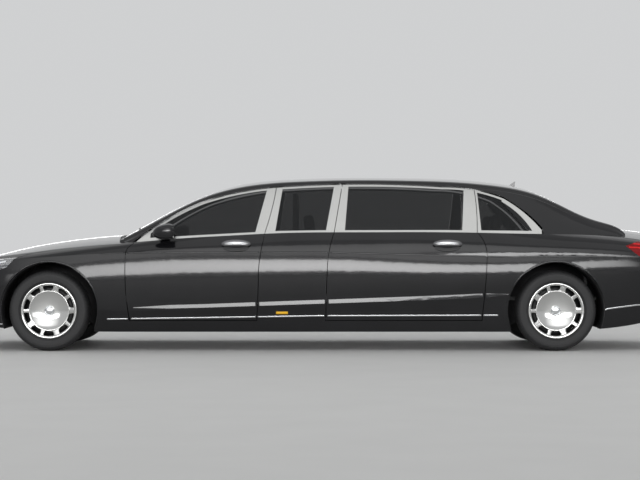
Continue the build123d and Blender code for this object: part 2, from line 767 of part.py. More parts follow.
# The antenna fin on the roof's centre line
FIN_X = RA - 350.0
FIN_LENGTH = 90.0
FIN_TOP = ROOF_HEIGHT - 32.0
FIN_FOOT = ROOF_HEIGHT - 92.0
FIN_WIDTH = 18.0
fin_face = outline(
    side,
    (FIN_X, FIN_FOOT),
    ((FIN_X + 0.5 * FIN_LENGTH, FIN_FOOT + 34), (FIN_X + 0.9 * FIN_LENGTH, FIN_TOP)),
    (FIN_X + FIN_LENGTH, FIN_TOP - 2),
    ((FIN_X + 0.93 * FIN_LENGTH, FIN_FOOT + 30), (FIN_X + FIN_LENGTH, FIN_FOOT)),
)
nodes["roof"] = roof + extrude(fin_face, FIN_WIDTH / 2, dir=(0, 1, 0), both=True)
nodes["windscreen"] = (glass_shell & windscreen_block(-SEAT_GAP)) - hull
nodes["rear_window"] = (glass_shell & backlight_block(-SEAT_GAP)) - hull

side_upper = upper_shell & box(X_NOSE, X_TAIL, -REACH, 0, 0, HIGH)
lids = hood_hole + boot_block(PANEL_GAP)
for tool in (roof_block(0.0), windscreen_block(0.0), backlight_block(0.0), band_hole, lids):
    side_upper = side_upper - tool
quarter_zone = box(TRAIL_REAR - 250, X_TAIL + 50, -REACH, 0, SILL_TOP + SEAT_GAP, HIGH)
quarter = lower_shell & quarter_zone
for tool in (arches, boot_block(PANEL_GAP), taillamp_seat, rear_bumper_hole, door_holes["rear"]):
    quarter = quarter - tool
quarter = quarter - backlight_block(0.0)
quarter = largest(quarter + liner(RA, rear_bumper_hole))
boot_hinge = box(BOOT_FRONT - 40, BOOT_FRONT + 40, -340, -260, 1036, 1058) - boot_block(SEAT_GAP)
nodes["body_side_left"] = quarter + side_upper + boot_hinge

# Doors, the fixed centre panel and the side glass of the left side
centre_zone = box(TRAIL_FRONT - 150, LEAD_REAR + 250, -REACH, 0, SILL_TOP + SEAT_GAP, HIGH)
centre = lower_shell & centre_zone
frames = upper_shell & band
for hole in door_holes.values():
    centre = centre - hole
    frames = frames - hole
nodes["centre_panel_left"] = largest(largest(centre) + hinges("rear"))
for name in ("centre", "quarter"):
    frames = frames - window_holes[name]
rings = sorted(frames.solids(), key=lambda solid: -solid.volume)
nodes["window_frames_left"] = Compound(children=rings[:2])

glass_limit = through_left(window_band(-TRIM_WIDTH - SEAT_GAP)) & belt_block.moved(Location((0, 0, SEAT_GAP)))
panes = {name: glass_shell & pane_block(pane, -SEAT_GAP) & glass_limit for name, pane in PANES.items()}
panes["quarter"] = panes["quarter"] & quarter_limit(-SEAT_GAP)
nodes["fixed_glass_left"] = Compound(children=[largest(panes["centre"]), largest(panes["quarter"])])

HANDLE_HALF = 120.0
HANDLE_HEIGHT = 24.0
HANDLE_Z = BELT_HEIGHT - 106.0
HANDLE_X = {"front": TRAIL_FRONT - 190, "rear": TRAIL_REAR - 341}
GRIP_DEPTH = 18.0
GRIP_INSET = 3.0
POST_REACH = 95.0


def handle(x):
    """A rounded pull handle on two posts, standing off the door skin."""
    ends = ((-HANDLE_HALF, 0.5), (-POST_REACH, 1.0), (POST_REACH, 1.0), (HANDLE_HALF, 0.5))
    sections = [
        Plane(origin=(x + along, GRIP_INSET - HALF_WIDTH, HANDLE_Z), x_dir=(0, 1, 0), z_dir=(1, 0, 0))
        * RectangleRounded(GRIP_DEPTH * share, HANDLE_HEIGHT * share, GRIP_DEPTH * share * 0.45)
        for along, share in ends
    ]
    posts = [
        box(post - 15, post + 15, -HALF_WIDTH, -(HALF_WIDTH - 60), HANDLE_Z - 7, HANDLE_Z + 7)
        for post in (x - POST_REACH, x + POST_REACH)
    ]
    return loft(sections) + posts - hull


outboard = box(X_NOSE, X_TAIL, -REACH, -(HALF_WIDTH - SIDE_WALL - 20), 0, HIGH)
for name in DOORS:
    panel = largest(lower_shell & door_blocks[name] & outboard)
    ring = largest((upper_shell & band & door_blocks[name]) - window_holes[name])
    nodes[f"{name}_door_left"] = panel
    nodes[f"{name}_door_frame_left"] = Compound(children=[ring, *handle(HANDLE_X[name]).solids()])
    nodes[f"{name}_door_glass_left"] = largest(panes[name])

# Door mirror: a rounded housing on a short arm from the foot of the window
MIRROR_X = FA + 1000.0
MIRROR_Z = BELT_HEIGHT + 8.0
MirrorRow = namedtuple("MirrorRow", "out length height")
MIRROR_ROWS = [
    MirrorRow(-78, 100, 84),
    MirrorRow(6, 176, 138),
    MirrorRow(80, 168, 132),
    MirrorRow(112, 110, 84),
]
housing = loft(
    [
        Plane(origin=(MIRROR_X, -(HALF_WIDTH + row.out), MIRROR_Z), x_dir=(1, 0, 0), z_dir=(0, -1, 0))
        * RectangleRounded(row.length, row.height, row.height * 0.42)
        for row in MIRROR_ROWS
    ]
)
arm = box(MIRROR_X - 40, MIRROR_X + 30, -(HALF_WIDTH - 40), -(HALF_WIDTH - 160), MIRROR_Z - 62, MIRROR_Z - 20)
mirror_left = housing + arm - hull - cabin
nodes["door_mirror_left"] = largest(mirror_left)

# Sills, floor and structure
SKIRT_INNER = 790.0
skirt = hull & box(FA + 200, RA - 200, -REACH, -SKIRT_INNER, 0, SILL_TOP)
nodes["sill_skirts"] = both(largest(skirt - arches))
FLOOR_TOP = 235.0
FLOOR_BOTTOM = 180.0
FIREWALL = FA + 605.0
KICK_UP = RA - 490.0
BOOT_FLOOR = 430.0
RAIL_IN, RAIL_OUT = 330.0, 400.0
floor_half = SKIRT_INNER - SEAT_GAP
well_half = HALF_WIDTH - ARCH_DEPTH - 8
floor = box(FIREWALL, KICK_UP + 40, -floor_half, floor_half, FLOOR_BOTTOM, FLOOR_TOP)
floor += box(FIREWALL, FIREWALL + 30, -floor_half, floor_half, FLOOR_BOTTOM, 860)
floor += box(KICK_UP, KICK_UP + 40, -floor_half, floor_half, FLOOR_BOTTOM, BOOT_FLOOR + 30)
floor += box(KICK_UP, X_TAIL - 160, -well_half, well_half, BOOT_FLOOR, BOOT_FLOOR + 30)
floor += box(RA + 300, RA + 330, -well_half, well_half, BOOT_FLOOR, 880)
for sign in (-1, 1):
    y0, y1 = sorted((sign * RAIL_IN, sign * RAIL_OUT))
    floor += box(X_NOSE + 130, FIREWALL + 10, y0, y1, 300, 380)
nodes["floor_pan"] = floor

# Grille: a frame ring with flat slats and one upright bar
ring = grille_block(0.0, GRILLE_DEPTH) - grille_block(-GRILLE_FRAME, GRILLE_DEPTH)
pitch = (GRILLE_TOP - GRILLE_BOTTOM) / (SLAT_COUNT + 1)
for k in range(1, SLAT_COUNT + 1):
    z = GRILLE_BOTTOM + k * pitch
    slat = box(X_NOSE + 16, X_NOSE + 50, -GRILLE_HALF_TOP, GRILLE_HALF_TOP, z - 9, z + 9)
    ring += slat & grille_block(-GRILLE_FRAME / 2, GRILLE_DEPTH)
bar = box(X_NOSE + 24, X_NOSE + 50, -8, 8, GRILLE_BOTTOM + 10, GRILLE_TOP - 10)
nodes["grille"] = ring + bar
radiator = box(X_NOSE + 135, X_NOSE + 180, -RAIL_OUT, RAIL_OUT, 380 + SEAT_GAP, 700)
nodes["radiator"] = radiator

# Front axle: a cross-member, two forked arms a side and the kingpins
KINGPIN_Y = TRACK / 2 - KINGPIN_INSET
EAR_LOW, EAR_HIGH = AXLE_HEIGHT - 105, AXLE_HEIGHT + 105
axle = box(FA - 60, FA + 60, -RAIL_OUT, RAIL_OUT, EAR_LOW - 25, 300 - SEAT_GAP)
for sign in (-1, 1):
    y0, y1 = sorted((sign * RAIL_OUT, sign * (RAIL_OUT + 40)))
    axle += box(FA - 40, FA + 40, y0, y1, EAR_LOW - 25, EAR_HIGH + 25)
    y0, y1 = sorted((sign * RAIL_OUT, sign * KINGPIN_Y))
    for z0, z1 in ((EAR_LOW - 25, EAR_LOW), (EAR_HIGH, EAR_HIGH + 25)):
        axle += box(FA - 26, FA + 26, y0, y1, z0, z1)
        axle += cylinder_z(FA, sign * KINGPIN_Y, z0, z1, 26)
    axle += cylinder_z(FA, sign * KINGPIN_Y, EAR_LOW, EAR_HIGH, KINGPIN_RADIUS)
nodes["front_axle"] = axle

# Knuckle: a post round the kingpin with a stub shaft for the wheel
HUB_IN, HUB_OUT = -36.0, 62.0
post = box(FA - 34, FA + 34, -KINGPIN_Y - 30, -KINGPIN_Y + 34, EAR_LOW + 1, EAR_HIGH - 1)
post += cylinder_y(FA, -KINGPIN_Y, -(TRACK / 2 + HUB_OUT - 6), AXLE_HEIGHT, STUB_RADIUS)
knuckle = post - cylinder_z(FA, -KINGPIN_Y, 0, HIGH, KINGPIN_RADIUS + SEAT_GAP)
nodes["knuckle_left"] = knuckle

# Rear axle: a cradle under the boot floor, the final drive and the stub shafts
cradle = box(RA - 120, RA + 120, -well_half, well_half, 360, BOOT_FLOOR - SEAT_GAP)
cradle += box(RA - 130, RA + 130, -130, 130, 230, 370)
cradle += cylinder_y(RA, -(TRACK / 2 - 70), TRACK / 2 - 70, AXLE_HEIGHT, 45)
cradle += cylinder_y(RA, -(TRACK / 2 + HUB_OUT - 6), TRACK / 2 + HUB_OUT - 6, AXLE_HEIGHT, STUB_RADIUS)
nodes["rear_axle"] = cradle


def wheel_point(y, r):
    """A point of a wheel's half section, in the wheel's own frame."""
    return Vector(0, y, r)


TYRE_RADIUS = TYRE_DIAMETER / 2
BEAD_RADIUS = BEAD_DIAMETER / 2
FLANGE_RADIUS = BEAD_RADIUS + FLANGE_HEIGHT
RIM_HALF = RIM_WIDTH / 2
TYRE_HALF = TYRE_WIDTH / 2
bead = RIM_HALF - 14
shoulder = TYRE_HALF - 15
tyre_face = outline(
    wheel_point,
    (-bead + SEAT_GAP, BEAD_RADIUS + SEAT_GAP),
    (bead - SEAT_GAP, BEAD_RADIUS + SEAT_GAP),
    (bead - SEAT_GAP, FLANGE_RADIUS + 2),
    ((TYRE_HALF, FLANGE_RADIUS + 42), (shoulder, TYRE_RADIUS - 16)),
    ((shoulder - 5, TYRE_RADIUS - 8), (shoulder - 16, TYRE_RADIUS - 4.5)),
    ((0, TYRE_RADIUS), (-shoulder + 16, TYRE_RADIUS - 4.5)),
    ((-shoulder + 5, TYRE_RADIUS - 8), (-shoulder, TYRE_RADIUS - 16)),
    ((-TYRE_HALF, FLANGE_RADIUS + 42), (-bead + SEAT_GAP, FLANGE_RADIUS + 2)),
)
tyre = revolve(tyre_face, Axis.Y)

# The rim's half section: barrel with two flanges, the dished face, the hub and the brake disc
BARREL = 13.0
FACE_OUT = -82.0
rim_face = outline(
    wheel_point,
    (-RIM_HALF, FLANGE_RADIUS - 6),
    (-RIM_HALF + 5, FLANGE_RADIUS),
    (-bead, FLANGE_RADIUS),
    (-bead, BEAD_RADIUS),
    (bead, BEAD_RADIUS),
    (bead, FLANGE_RADIUS),
    (RIM_HALF, FLANGE_RADIUS),
    (RIM_HALF, BEAD_RADIUS - BARREL),
    (-36, BEAD_RADIUS - BARREL),
    (-36, BOWL_RADIUS),
    (-44, 78),
    (-2, 78),
    (-2, DISC_DIAMETER / 2),
    (-2 + DISC_THICKNESS, DISC_DIAMETER / 2),
    (-2 + DISC_THICKNESS, 78),
    (-HUB_IN, 78),
    (-HUB_IN, STUB_RADIUS + SEAT_GAP),
    (-HUB_OUT, STUB_RADIUS + SEAT_GAP),
    (-HUB_OUT, 0),
    (FACE_OUT - 4, 0),
    (FACE_OUT - 2, 44),
    (FACE_OUT + 4, 50),
    ((FACE_OUT + 6, 105), (FACE_OUT + 22, BOWL_RADIUS)),
    (FACE_OUT + 14, BEAD_RADIUS - BARREL),
    (-RIM_HALF + 4, BEAD_RADIUS - 2),
)
rim = revolve(rim_face, Axis.Y)
SLOT_HALF_ANGLE = math.radians(360 / SLOT_COUNT * 0.36)
SLOT_IN = BOWL_RADIUS + 7
SLOT_OUT = BEAD_RADIUS - BARREL - 5


def polar(radius, angle):
    """A point at a radius and angle about the wheel's axis."""
    return (radius * math.sin(angle), radius * math.cos(angle))


slot_face = outline(
    side,
    polar(SLOT_IN, -SLOT_HALF_ANGLE * 0.8),
    (polar(SLOT_IN, 0), polar(SLOT_IN, SLOT_HALF_ANGLE * 0.8)),
    polar(SLOT_OUT, SLOT_HALF_ANGLE),
    (polar(SLOT_OUT, 0), polar(SLOT_OUT, -SLOT_HALF_ANGLE)),
)
slot = extrude(slot_face.moved(Location((0, -20, 0))), RIM_WIDTH, dir=(0, -1, 0))
rim = rim - [Rot(0, 360 / SLOT_COUNT * (k + 0.5), 0) * slot for k in range(SLOT_COUNT)]
for name, x in (("front", FA), ("rear", RA)):
    place = Pos(x, -TRACK / 2, AXLE_HEIGHT)
    nodes[f"{name}_tyre_left"] = place * tyre
    nodes[f"{name}_rim_left"] = place * rim

# Engine, exhaust and cabin fittings
engine = box(FA - 280, FA + 560, -270, 270, 300 + SEAT_GAP, 640)
engine += box(FA - 250, FA + 480, -210, 210, 640, 760)
nodes["engine"] = engine
SILENCER_REAR = RA + 880
exhaust = box(RA + 480, SILENCER_REAR, -420, 420, 280, BOOT_FLOOR - SEAT_GAP)
for sign in (-1, 1):
    tip = tail_bar(sign, SILENCER_REAR - 10, X_TAIL - TIP_INSET, 0.0)
    exhaust += tip - tail_bar(sign, SILENCER_REAR + 5, X_TAIL, -TIP_WALL)
nodes["exhaust"] = exhaust

SEAT_PROFILE = [
    (0, FLOOR_TOP + SEAT_GAP),
    (0, 450),
    (40, 480),
    (450, 455),
    (585, 1000),
    (600, 1165),
    (640, 1190),
    (690, 1160),
    (705, 1010),
    (600, FLOOR_TOP + SEAT_GAP),
]
SeatRow = namedtuple("SeatRow", "x facing places width")
SEATS = {
    "front_seats": SeatRow(FA + 1270, 1, (-390, 390), 520),
    "rear_facing_seats": SeatRow(LEAD_REAR + 480, -1, (-380, 380), 600),
    "rear_seats": SeatRow(RA - 1130, 1, (-380, 380), 640),
}
for name, row in SEATS.items():
    face = outline(side, *[(row.x + row.facing * x, z) for x, z in SEAT_PROFILE])
    seat = extrude(face, row.width / 2, dir=(0, 1, 0), both=True)
    nodes[name] = Compound(children=[seat.moved(Location((0, y, 0))).solid() for y in row.places])
dash_face = outline(
    side,
    (FIREWALL + 30 + SEAT_GAP, 560),
    (FIREWALL + 30 + SEAT_GAP, 850),
    (FA + 900, 920),
    (FA + 1010, 860),
    (FA + 980, 620),
)
dash = extrude(dash_face, 740, dir=(0, 1, 0), both=True)
steer_axis = Plane(origin=(FA + 1120, -390, 860), z_dir=(0.9, 0, 0.43))
dash += steer_axis * Torus(180, 15)
dash += steer_axis * Box(360, 36, 16)
dash += steer_axis * Pos(0, 0, -90) * Cylinder(28, 200)
nodes["dashboard"] = dash
PARTITION_X = TRAIL_FRONT + 300
partition_face = Face(
    Wire.make_polygon(
        [
            Vector(PARTITION_X, y, z)
            for y, z in (
                (-780, FLOOR_TOP + SEAT_GAP),
                (780, FLOOR_TOP + SEAT_GAP),
                (780, 960),
                (600, 1380),
                (-600, 1380),
                (-780, 960),
            )
        ]
    )
)
PARTITION_DEPTH = 40.0
hatch = box(PARTITION_X, PARTITION_X + PARTITION_DEPTH, -480, 480, 1010, 1300)
nodes["partition"] = extrude(partition_face, PARTITION_DEPTH, dir=(1, 0, 0)) - hatch

# Right-hand pieces mirror the left-hand ones
for name in [name for name in nodes if name.endswith("_left")]:
    nodes[name.replace("_left", "_right")] = mirror(nodes[name], about=Plane.XZ)

os.makedirs("parts", exist_ok=True)
for name, shape in nodes.items():
    export_step(shape, f"parts/{name}.step")
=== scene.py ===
"""Looks of a black stretch limousine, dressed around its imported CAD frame.

Metres, +X from nose to tail, +Y to the car's right side, +Z up, the road at z = 0.
"""

import json
import logging
import math
from dataclasses import dataclass
from enum import Enum
from typing import Any, Sequence

import bpy
import numpy as np
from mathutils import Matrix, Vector
from mathutils.bvhtree import BVHTree

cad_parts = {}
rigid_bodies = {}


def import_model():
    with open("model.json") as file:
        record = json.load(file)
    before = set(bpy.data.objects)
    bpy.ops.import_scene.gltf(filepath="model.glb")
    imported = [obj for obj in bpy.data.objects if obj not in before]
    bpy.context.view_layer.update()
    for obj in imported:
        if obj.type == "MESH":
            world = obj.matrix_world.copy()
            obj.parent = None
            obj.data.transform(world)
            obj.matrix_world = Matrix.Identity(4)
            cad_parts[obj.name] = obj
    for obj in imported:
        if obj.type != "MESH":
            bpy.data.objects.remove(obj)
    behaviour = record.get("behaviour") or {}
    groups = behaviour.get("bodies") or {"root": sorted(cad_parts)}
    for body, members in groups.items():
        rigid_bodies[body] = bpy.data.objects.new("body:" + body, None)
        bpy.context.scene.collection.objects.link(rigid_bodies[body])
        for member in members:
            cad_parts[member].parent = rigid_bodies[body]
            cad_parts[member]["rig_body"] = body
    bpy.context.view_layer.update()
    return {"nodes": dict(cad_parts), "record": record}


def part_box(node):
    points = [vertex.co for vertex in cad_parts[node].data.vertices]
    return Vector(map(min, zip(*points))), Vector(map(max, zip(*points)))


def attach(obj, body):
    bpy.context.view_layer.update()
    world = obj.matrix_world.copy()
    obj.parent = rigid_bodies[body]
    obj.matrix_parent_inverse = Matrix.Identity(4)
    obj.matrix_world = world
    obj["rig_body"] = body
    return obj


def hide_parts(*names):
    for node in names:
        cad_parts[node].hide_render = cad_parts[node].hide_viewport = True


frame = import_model()
LOG = logging.getLogger("limousine")
DOWN = np.array([0.0, 0.0, -1.0])
SUNK = 0.003  # how far a strip's back lies below the skin
Array = np.ndarray
Point = tuple[float, float, float]
Colour = tuple[float, float, float]
Row = tuple[float, ...]
Section = tuple[tuple[float, float], ...]
Cast = tuple[Array, Array]  # where rays start, and their unit directions


class Sock:
    """A shader socket that does arithmetic by adding Math nodes."""

    def __init__(self, maker: "Nodes", socket: bpy.types.NodeSocket | None) -> None:
        """Wraps a socket of the maker's tree."""
        self.maker = maker
        self.socket = socket

    def _math(self, operation: str, *values: Any) -> "Sock":
        """One Math node on the given values."""
        return self.maker.node("ShaderNodeMath", {"operation": operation}, dict(enumerate(values)))

    def __add__(self, other: Any) -> "Sock":
        """The sum with a socket or a number."""
        return self._math("ADD", self, other)

    def __mul__(self, other: Any) -> "Sock":
        """The product with a socket or a number."""
        return self._math("MULTIPLY", self, other)

    def either(self, other: Any) -> "Sock":
        """The larger of this and another value."""
        return self._math("MAXIMUM", self, other)

    __radd__, __rmul__ = __add__, __mul__


class Nodes:
    """The node tree of a material or of the world, under construction."""

    def __init__(self, owner: bpy.types.Material | bpy.types.World) -> None:
        """Empties the owner's tree.

        Args:
            owner: a new material or world.
        """
        owner.use_nodes = True
        self.owner = owner
        self.tree = owner.node_tree
        self.tree.nodes.clear()

    def node(self, kind: str, settings: dict[str, Any], inputs: dict[Any, Any], out: Any = 0) -> Sock:
        """Adds one node.

        Args:
            kind: the node's type name.
            settings: attributes set first; "stops" sets a colour ramp's stops.
            inputs: values or sockets by input name or number.
            out: the name or number of the output that is returned.

        Returns:
            The chosen output socket, which is empty for a node without outputs.
        """
        made = self.tree.nodes.new(kind)
        for key, value in settings.items():
            if key == "stops":
                self._set_stops(made.color_ramp, value)
            else:
                setattr(made, key, value)
        for key, value in inputs.items():
            socket = made.inputs[key]
            if isinstance(value, Sock):
                self.tree.links.new(value.socket, socket)
            else:
                socket.default_value = value
        return Sock(self, made.outputs[out] if len(made.outputs) else None)

    @staticmethod
    def _set_stops(ramp: bpy.types.ColorRamp, stops: Sequence[tuple[float, Colour]]) -> None:
        """Gives a colour ramp its stops.

        Args:
            ramp: the ramp.
            stops: places from 0 to 1, each with its colour.
        """
        while len(ramp.elements) < len(stops):
            ramp.elements.new(0.5)
        for element, (place, colour) in zip(ramp.elements, stops):
            element.position = place
            element.color = (*colour, 1.0)

    def spread(self, value: Sock, low: float, high: float) -> Sock:
        """A 0 to 1 value carried to the range from low to high."""
        return low + value * (high - low)


class Shader(Nodes):
    """A node material under construction."""

    def __init__(self, name: str) -> None:
        """Begins a material of that name."""
        super().__init__(bpy.data.materials.new(name))

    def place(self) -> Sock:
        """Object coordinates, in metres."""
        return self.node("ShaderNodeTexCoord", {}, {}, "Object")

    def noise(self, scale: float, detail: float = 3.0, rough: float = 0.5) -> Sock:
        """Fractal noise between 0 and 1 at a scale per metre."""
        inputs = {"Vector": self.place(), "Scale": scale, "Detail": detail, "Roughness": rough}
        return self.node("ShaderNodeTexNoise", {}, inputs, "Fac")

    def ramp(self, value: Sock, *stops: tuple[float, Colour]) -> Sock:
        """A colour ramp."""
        return self.node("ShaderNodeValToRGB", {"stops": stops}, {"Fac": value}, "Color")

    def bump(self, height: Sock, distance: float) -> Sock:
        """A bump normal of a height times a distance in metres."""
        inputs = {"Height": height, "Distance": distance, "Strength": 1.0}
        return self.node("ShaderNodeBump", {}, inputs, "Normal")

    def finish(self, **inputs: Any) -> bpy.types.Material:
        """Closes the material with one Principled shader.

        Args:
            inputs: its sockets, with underscores for blanks in their names.

        Returns:
            The finished material.
        """
        named = {key.replace("_", " "): value for key, value in inputs.items()}
        if isinstance(named["Base Color"], tuple):
            named["Base Color"] = (*named["Base Color"], 1.0)
        shader = self.node("ShaderNodeBsdfPrincipled", {}, named, "BSDF")
        self.node("ShaderNodeOutputMaterial", {}, {"Surface": shader})
        return self.owner


@dataclass(frozen=True)
class Coat:
    """A made material and the record's material slot that it belongs to."""

    material: bpy.types.Material
    slot: str


@dataclass(frozen=True)
class Finish:
    """What every finish has: a name, the record's material slot and a colour."""

    name: str
    slot: str
    colour: Colour

    def shade(self, share: float) -> Colour:
        """The colour, made lighter or darker by a factor."""
        return tuple(share * c for c in self.colour)


@dataclass(frozen=True)
class Paint(Finish):
    """Gloss lacquer over a solid colour, with faint clouds and a little dust in its gloss."""

    roughness: float
    polish: float = 0.02
    dust: float = 0.03
    shine: float = 0.1
    coat_roughness: float = 0.075
    coat_ior: float = 1.42

    def build(self) -> Coat:
        """Makes the lacquer.

        Returns:
            The lacquer and its slot.
        """
        make = Shader(self.name)
        cloud = make.noise(scale=3.0, detail=2.0)
        grit = make.noise(scale=60.0, detail=4.0, rough=0.6)
        made = make.finish(
            Base_Color=make.ramp(cloud, (0.3, self.colour), (0.7, self.shade(1.5))),
            Roughness=make.spread(grit, self.roughness - self.polish, self.roughness + self.dust),
            Specular_IOR_Level=self.shine,
            Coat_Weight=1.0,
            Coat_Roughness=self.coat_roughness,
            Coat_IOR=self.coat_ior,
        )
        return Coat(made, self.slot)


@dataclass(frozen=True)
class Metal(Finish):
    """Bright metal with fine smears, polished or brushed."""

    roughness: float
    smear: float = 0.04
    grain: float = 40.0
    fade: float = 0.93

    def build(self) -> Coat:
        """Makes the metal.

        Returns:
            The metal and its slot.
        """
        make = Shader(self.name)
        smudge = make.noise(self.grain, detail=4.0, rough=0.65)
        tint = make.ramp(smudge, (0.25, self.shade(self.fade)), (0.75, self.colour))
        rough = make.spread(smudge, self.roughness, self.roughness + self.smear)
        return Coat(make.finish(Base_Color=tint, Metallic=1.0, Roughness=rough), self.slot)


@dataclass(frozen=True)
class Plastic(Finish):
    """Moulded plastic or rubber with a fine grain."""

    roughness: float
    grain: float = 900.0
    depth: float = 0.0002
    polish: float = 0.05
    wear: float = 0.06

    def build(self) -> Coat:
        """Makes the plastic.

        Returns:
            The plastic and its slot.
        """
        make = Shader(self.name)
        fine = make.noise(self.grain, detail=2.0)
        broad = make.noise(scale=9.0, detail=3.0)
        tint = make.ramp(broad, (0.3, self.shade(0.8)), (0.7, self.shade(1.2)))
        rough = make.spread(broad, self.roughness - self.polish, self.roughness + self.wear)
        made = make.finish(Base_Color=tint, Roughness=rough, Normal=make.bump(fine, self.depth))
        return Coat(made, self.slot)


@dataclass(frozen=True)
class Glass(Finish):
    """Tinted glass: a gloss pane that lets part of the light through."""

    alpha: float
    roughness: float = 0.02
    smear: float = 0.02
    shine: float = 0.28

    def build(self) -> Coat:
        """Makes the glass.

        Returns:
            The glass and its slot.
        """
        make = Shader(self.name)
        cloud = make.noise(scale=7.0, detail=3.0)
        rough = make.spread(cloud, self.roughness, self.roughness + self.smear)
        made = make.finish(
            Base_Color=self.colour, Roughness=rough, Alpha=self.alpha, Specular_IOR_Level=self.shine
        )
        return Coat(made, self.slot)


@dataclass(frozen=True)
class Leather(Finish):
    """Pebbled leather."""

    pebbles: float = 420.0
    depth: float = 0.0004
    roughness: tuple[float, float] = (0.42, 0.56)

    def build(self) -> Coat:
        """Makes the leather.

        Returns:
            The leather and its slot.
        """
        make = Shader(self.name)
        inputs = {"Vector": make.place(), "Scale": self.pebbles}
        cells = make.node("ShaderNodeTexVoronoi", {"feature": "DISTANCE_TO_EDGE"}, inputs, "Distance")
        broad = make.noise(scale=6.0, detail=4.0)
        tint = make.ramp(broad, (0.3, self.shade(0.75)), (0.75, self.shade(1.3)))
        rough = make.spread(broad, *self.roughness)
        made = make.finish(Base_Color=tint, Roughness=rough, Normal=make.bump(cells, self.depth))
        return Coat(made, self.slot)


@dataclass(frozen=True)
class Matt(Finish):
    """A matt pale surface with faint clouds."""

    roughness: float = 0.65

    def build(self) -> Coat:
        """Makes the matt surface.

        Returns:
            The surface and its slot.
        """
        make = Shader(self.name)
        tint = make.ramp(make.noise(scale=2.0, detail=3.0), (0.3, self.shade(0.97)), (0.7, self.colour))
        return Coat(make.finish(Base_Color=tint, Roughness=self.roughness), self.slot)


class Palette:
    """Every finish of the car, built once."""

    def __init__(self) -> None:
        """Builds the finishes and picks those of the CAD nodes' slots."""
        self.paint = Paint("black_lacquer", "paint", (0.006, 0.006, 0.007), roughness=0.16).build()
        self.chrome = Metal("bright_chrome", "chrome", (0.72, 0.73, 0.74), roughness=0.07).build()
        self.satin = Metal(
            "satin_bright", "chrome", (0.60, 0.60, 0.585), roughness=0.25, smear=0.02, grain=6.0, fade=0.96
        ).build()
        self.alloy = Metal(
            "polished_alloy", "alloy", (0.64, 0.64, 0.63), roughness=0.10, smear=0.03, grain=14.0, fade=0.95
        ).build()
        self.iron = Metal("cast_iron", "iron", (0.16, 0.16, 0.165), roughness=0.55, smear=0.15).build()
        self.smoked = Metal("smoked_chrome", "chrome", (0.20, 0.20, 0.205), roughness=0.14, smear=0.05).build()
        self.steel = Metal("exhaust_steel", "steel", (0.38, 0.37, 0.36), roughness=0.30, smear=0.12).build()
        self.rubber = Plastic(
            "tyre_rubber", "tyre", (0.016, 0.016, 0.017), roughness=0.62, grain=700.0, depth=0.0003
        ).build()
        self.plastic = Plastic("black_plastic", "black_plastic", (0.014, 0.014, 0.015), roughness=0.5).build()
        self.gloss_plastic = Plastic(
            "gloss_black_plastic", "black_plastic", (0.008, 0.008, 0.009),
            roughness=0.16, grain=300.0, depth=0.00005,
        ).build()
        self.glass = Glass("tinted_glass", "tinted_glass", (0.010, 0.011, 0.012), alpha=0.62).build()
        self.border = Glass("glass_border", "tinted_glass", (0.010, 0.011, 0.012), alpha=1.0).build()
        self.lens = Glass("clear_lens", "lamp_glass", (0.30, 0.31, 0.33), alpha=0.28).build()
        self.red_lens = Glass("red_lens", "red_lamp", (0.26, 0.004, 0.006), alpha=0.86).build()
        self.amber = Glass("amber_lens", "red_lamp", (0.90, 0.50, 0.03), alpha=0.97).build()
        self.clear = Glass("pale_lamp", "lamp_glass", (0.82, 0.84, 0.86), alpha=0.97).build()
        self.led = Glass("red_stripe", "red_lamp", (0.75, 0.012, 0.014), alpha=0.97).build()
        self.leather = Leather("black_leather", "leather", (0.045, 0.040, 0.037)).build()
        bare = (self.paint, self.plastic, self.satin, self.lens, self.red_lens, self.glass, self.iron)
        bare += (self.steel, self.leather, self.rubber, self.alloy)
        self.by_slot = {coat.slot: coat for coat in bare}


def dress_frame(palette: Palette) -> None:
    """Gives every CAD node the finish of its material slot.

    Args:
        palette: the finishes.
    """
    slots = {row["node"]: row["material_slot"] for row in frame["record"]["subparts"]}
    for name, node in frame["nodes"].items():
        node.data.materials.clear()
        node.data.materials.append(palette.by_slot[slots[name]].material)


def all_round(count: int) -> Array:
    """Evenly spaced angles of a full turn, the last one short of the first."""
    return np.linspace(0.0, 2 * np.pi, num=count, endpoint=False)


def signed_power(value: Array, power: float) -> Array:
    """A value whose size is raised to a power and whose sign is kept."""
    return np.sign(value) * np.abs(value) ** power


def grid(x: Any, y: Any, z: Any) -> Array:
    """Places from coordinates that are broadcast to one shape."""
    return np.stack(np.broadcast_arrays(x, y, z), -1)


def box_of(node: str) -> tuple[Array, Array, Array]:
    """The low corner, the high corner and the middle of a CAD node's box."""
    low, high = (np.array(corner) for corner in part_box(node))
    return low, high, (low + high) / 2


@dataclass(frozen=True)
class Lamp:
    """A soft rectangular lamp: its place, the point it faces, its size, watts and beam in degrees."""

    name: str
    place: Point
    aim: Point
    size: tuple[float, float]
    power: float
    spread: float = 180.0

    def build(self) -> None:
        """Sets the lamp up."""
        data = bpy.data.lights.new(self.name, "AREA")
        data.shape = "RECTANGLE"
        data.size, data.size_y = self.size
        data.energy = self.power
        data.spread = math.radians(self.spread)
        lamp = bpy.data.objects.new(self.name, data)
        lamp.location = self.place
        lamp.rotation_euler = (Vector(self.aim) - Vector(self.place)).to_track_quat("-Z", "Y").to_euler()
        bpy.context.collection.objects.link(lamp)


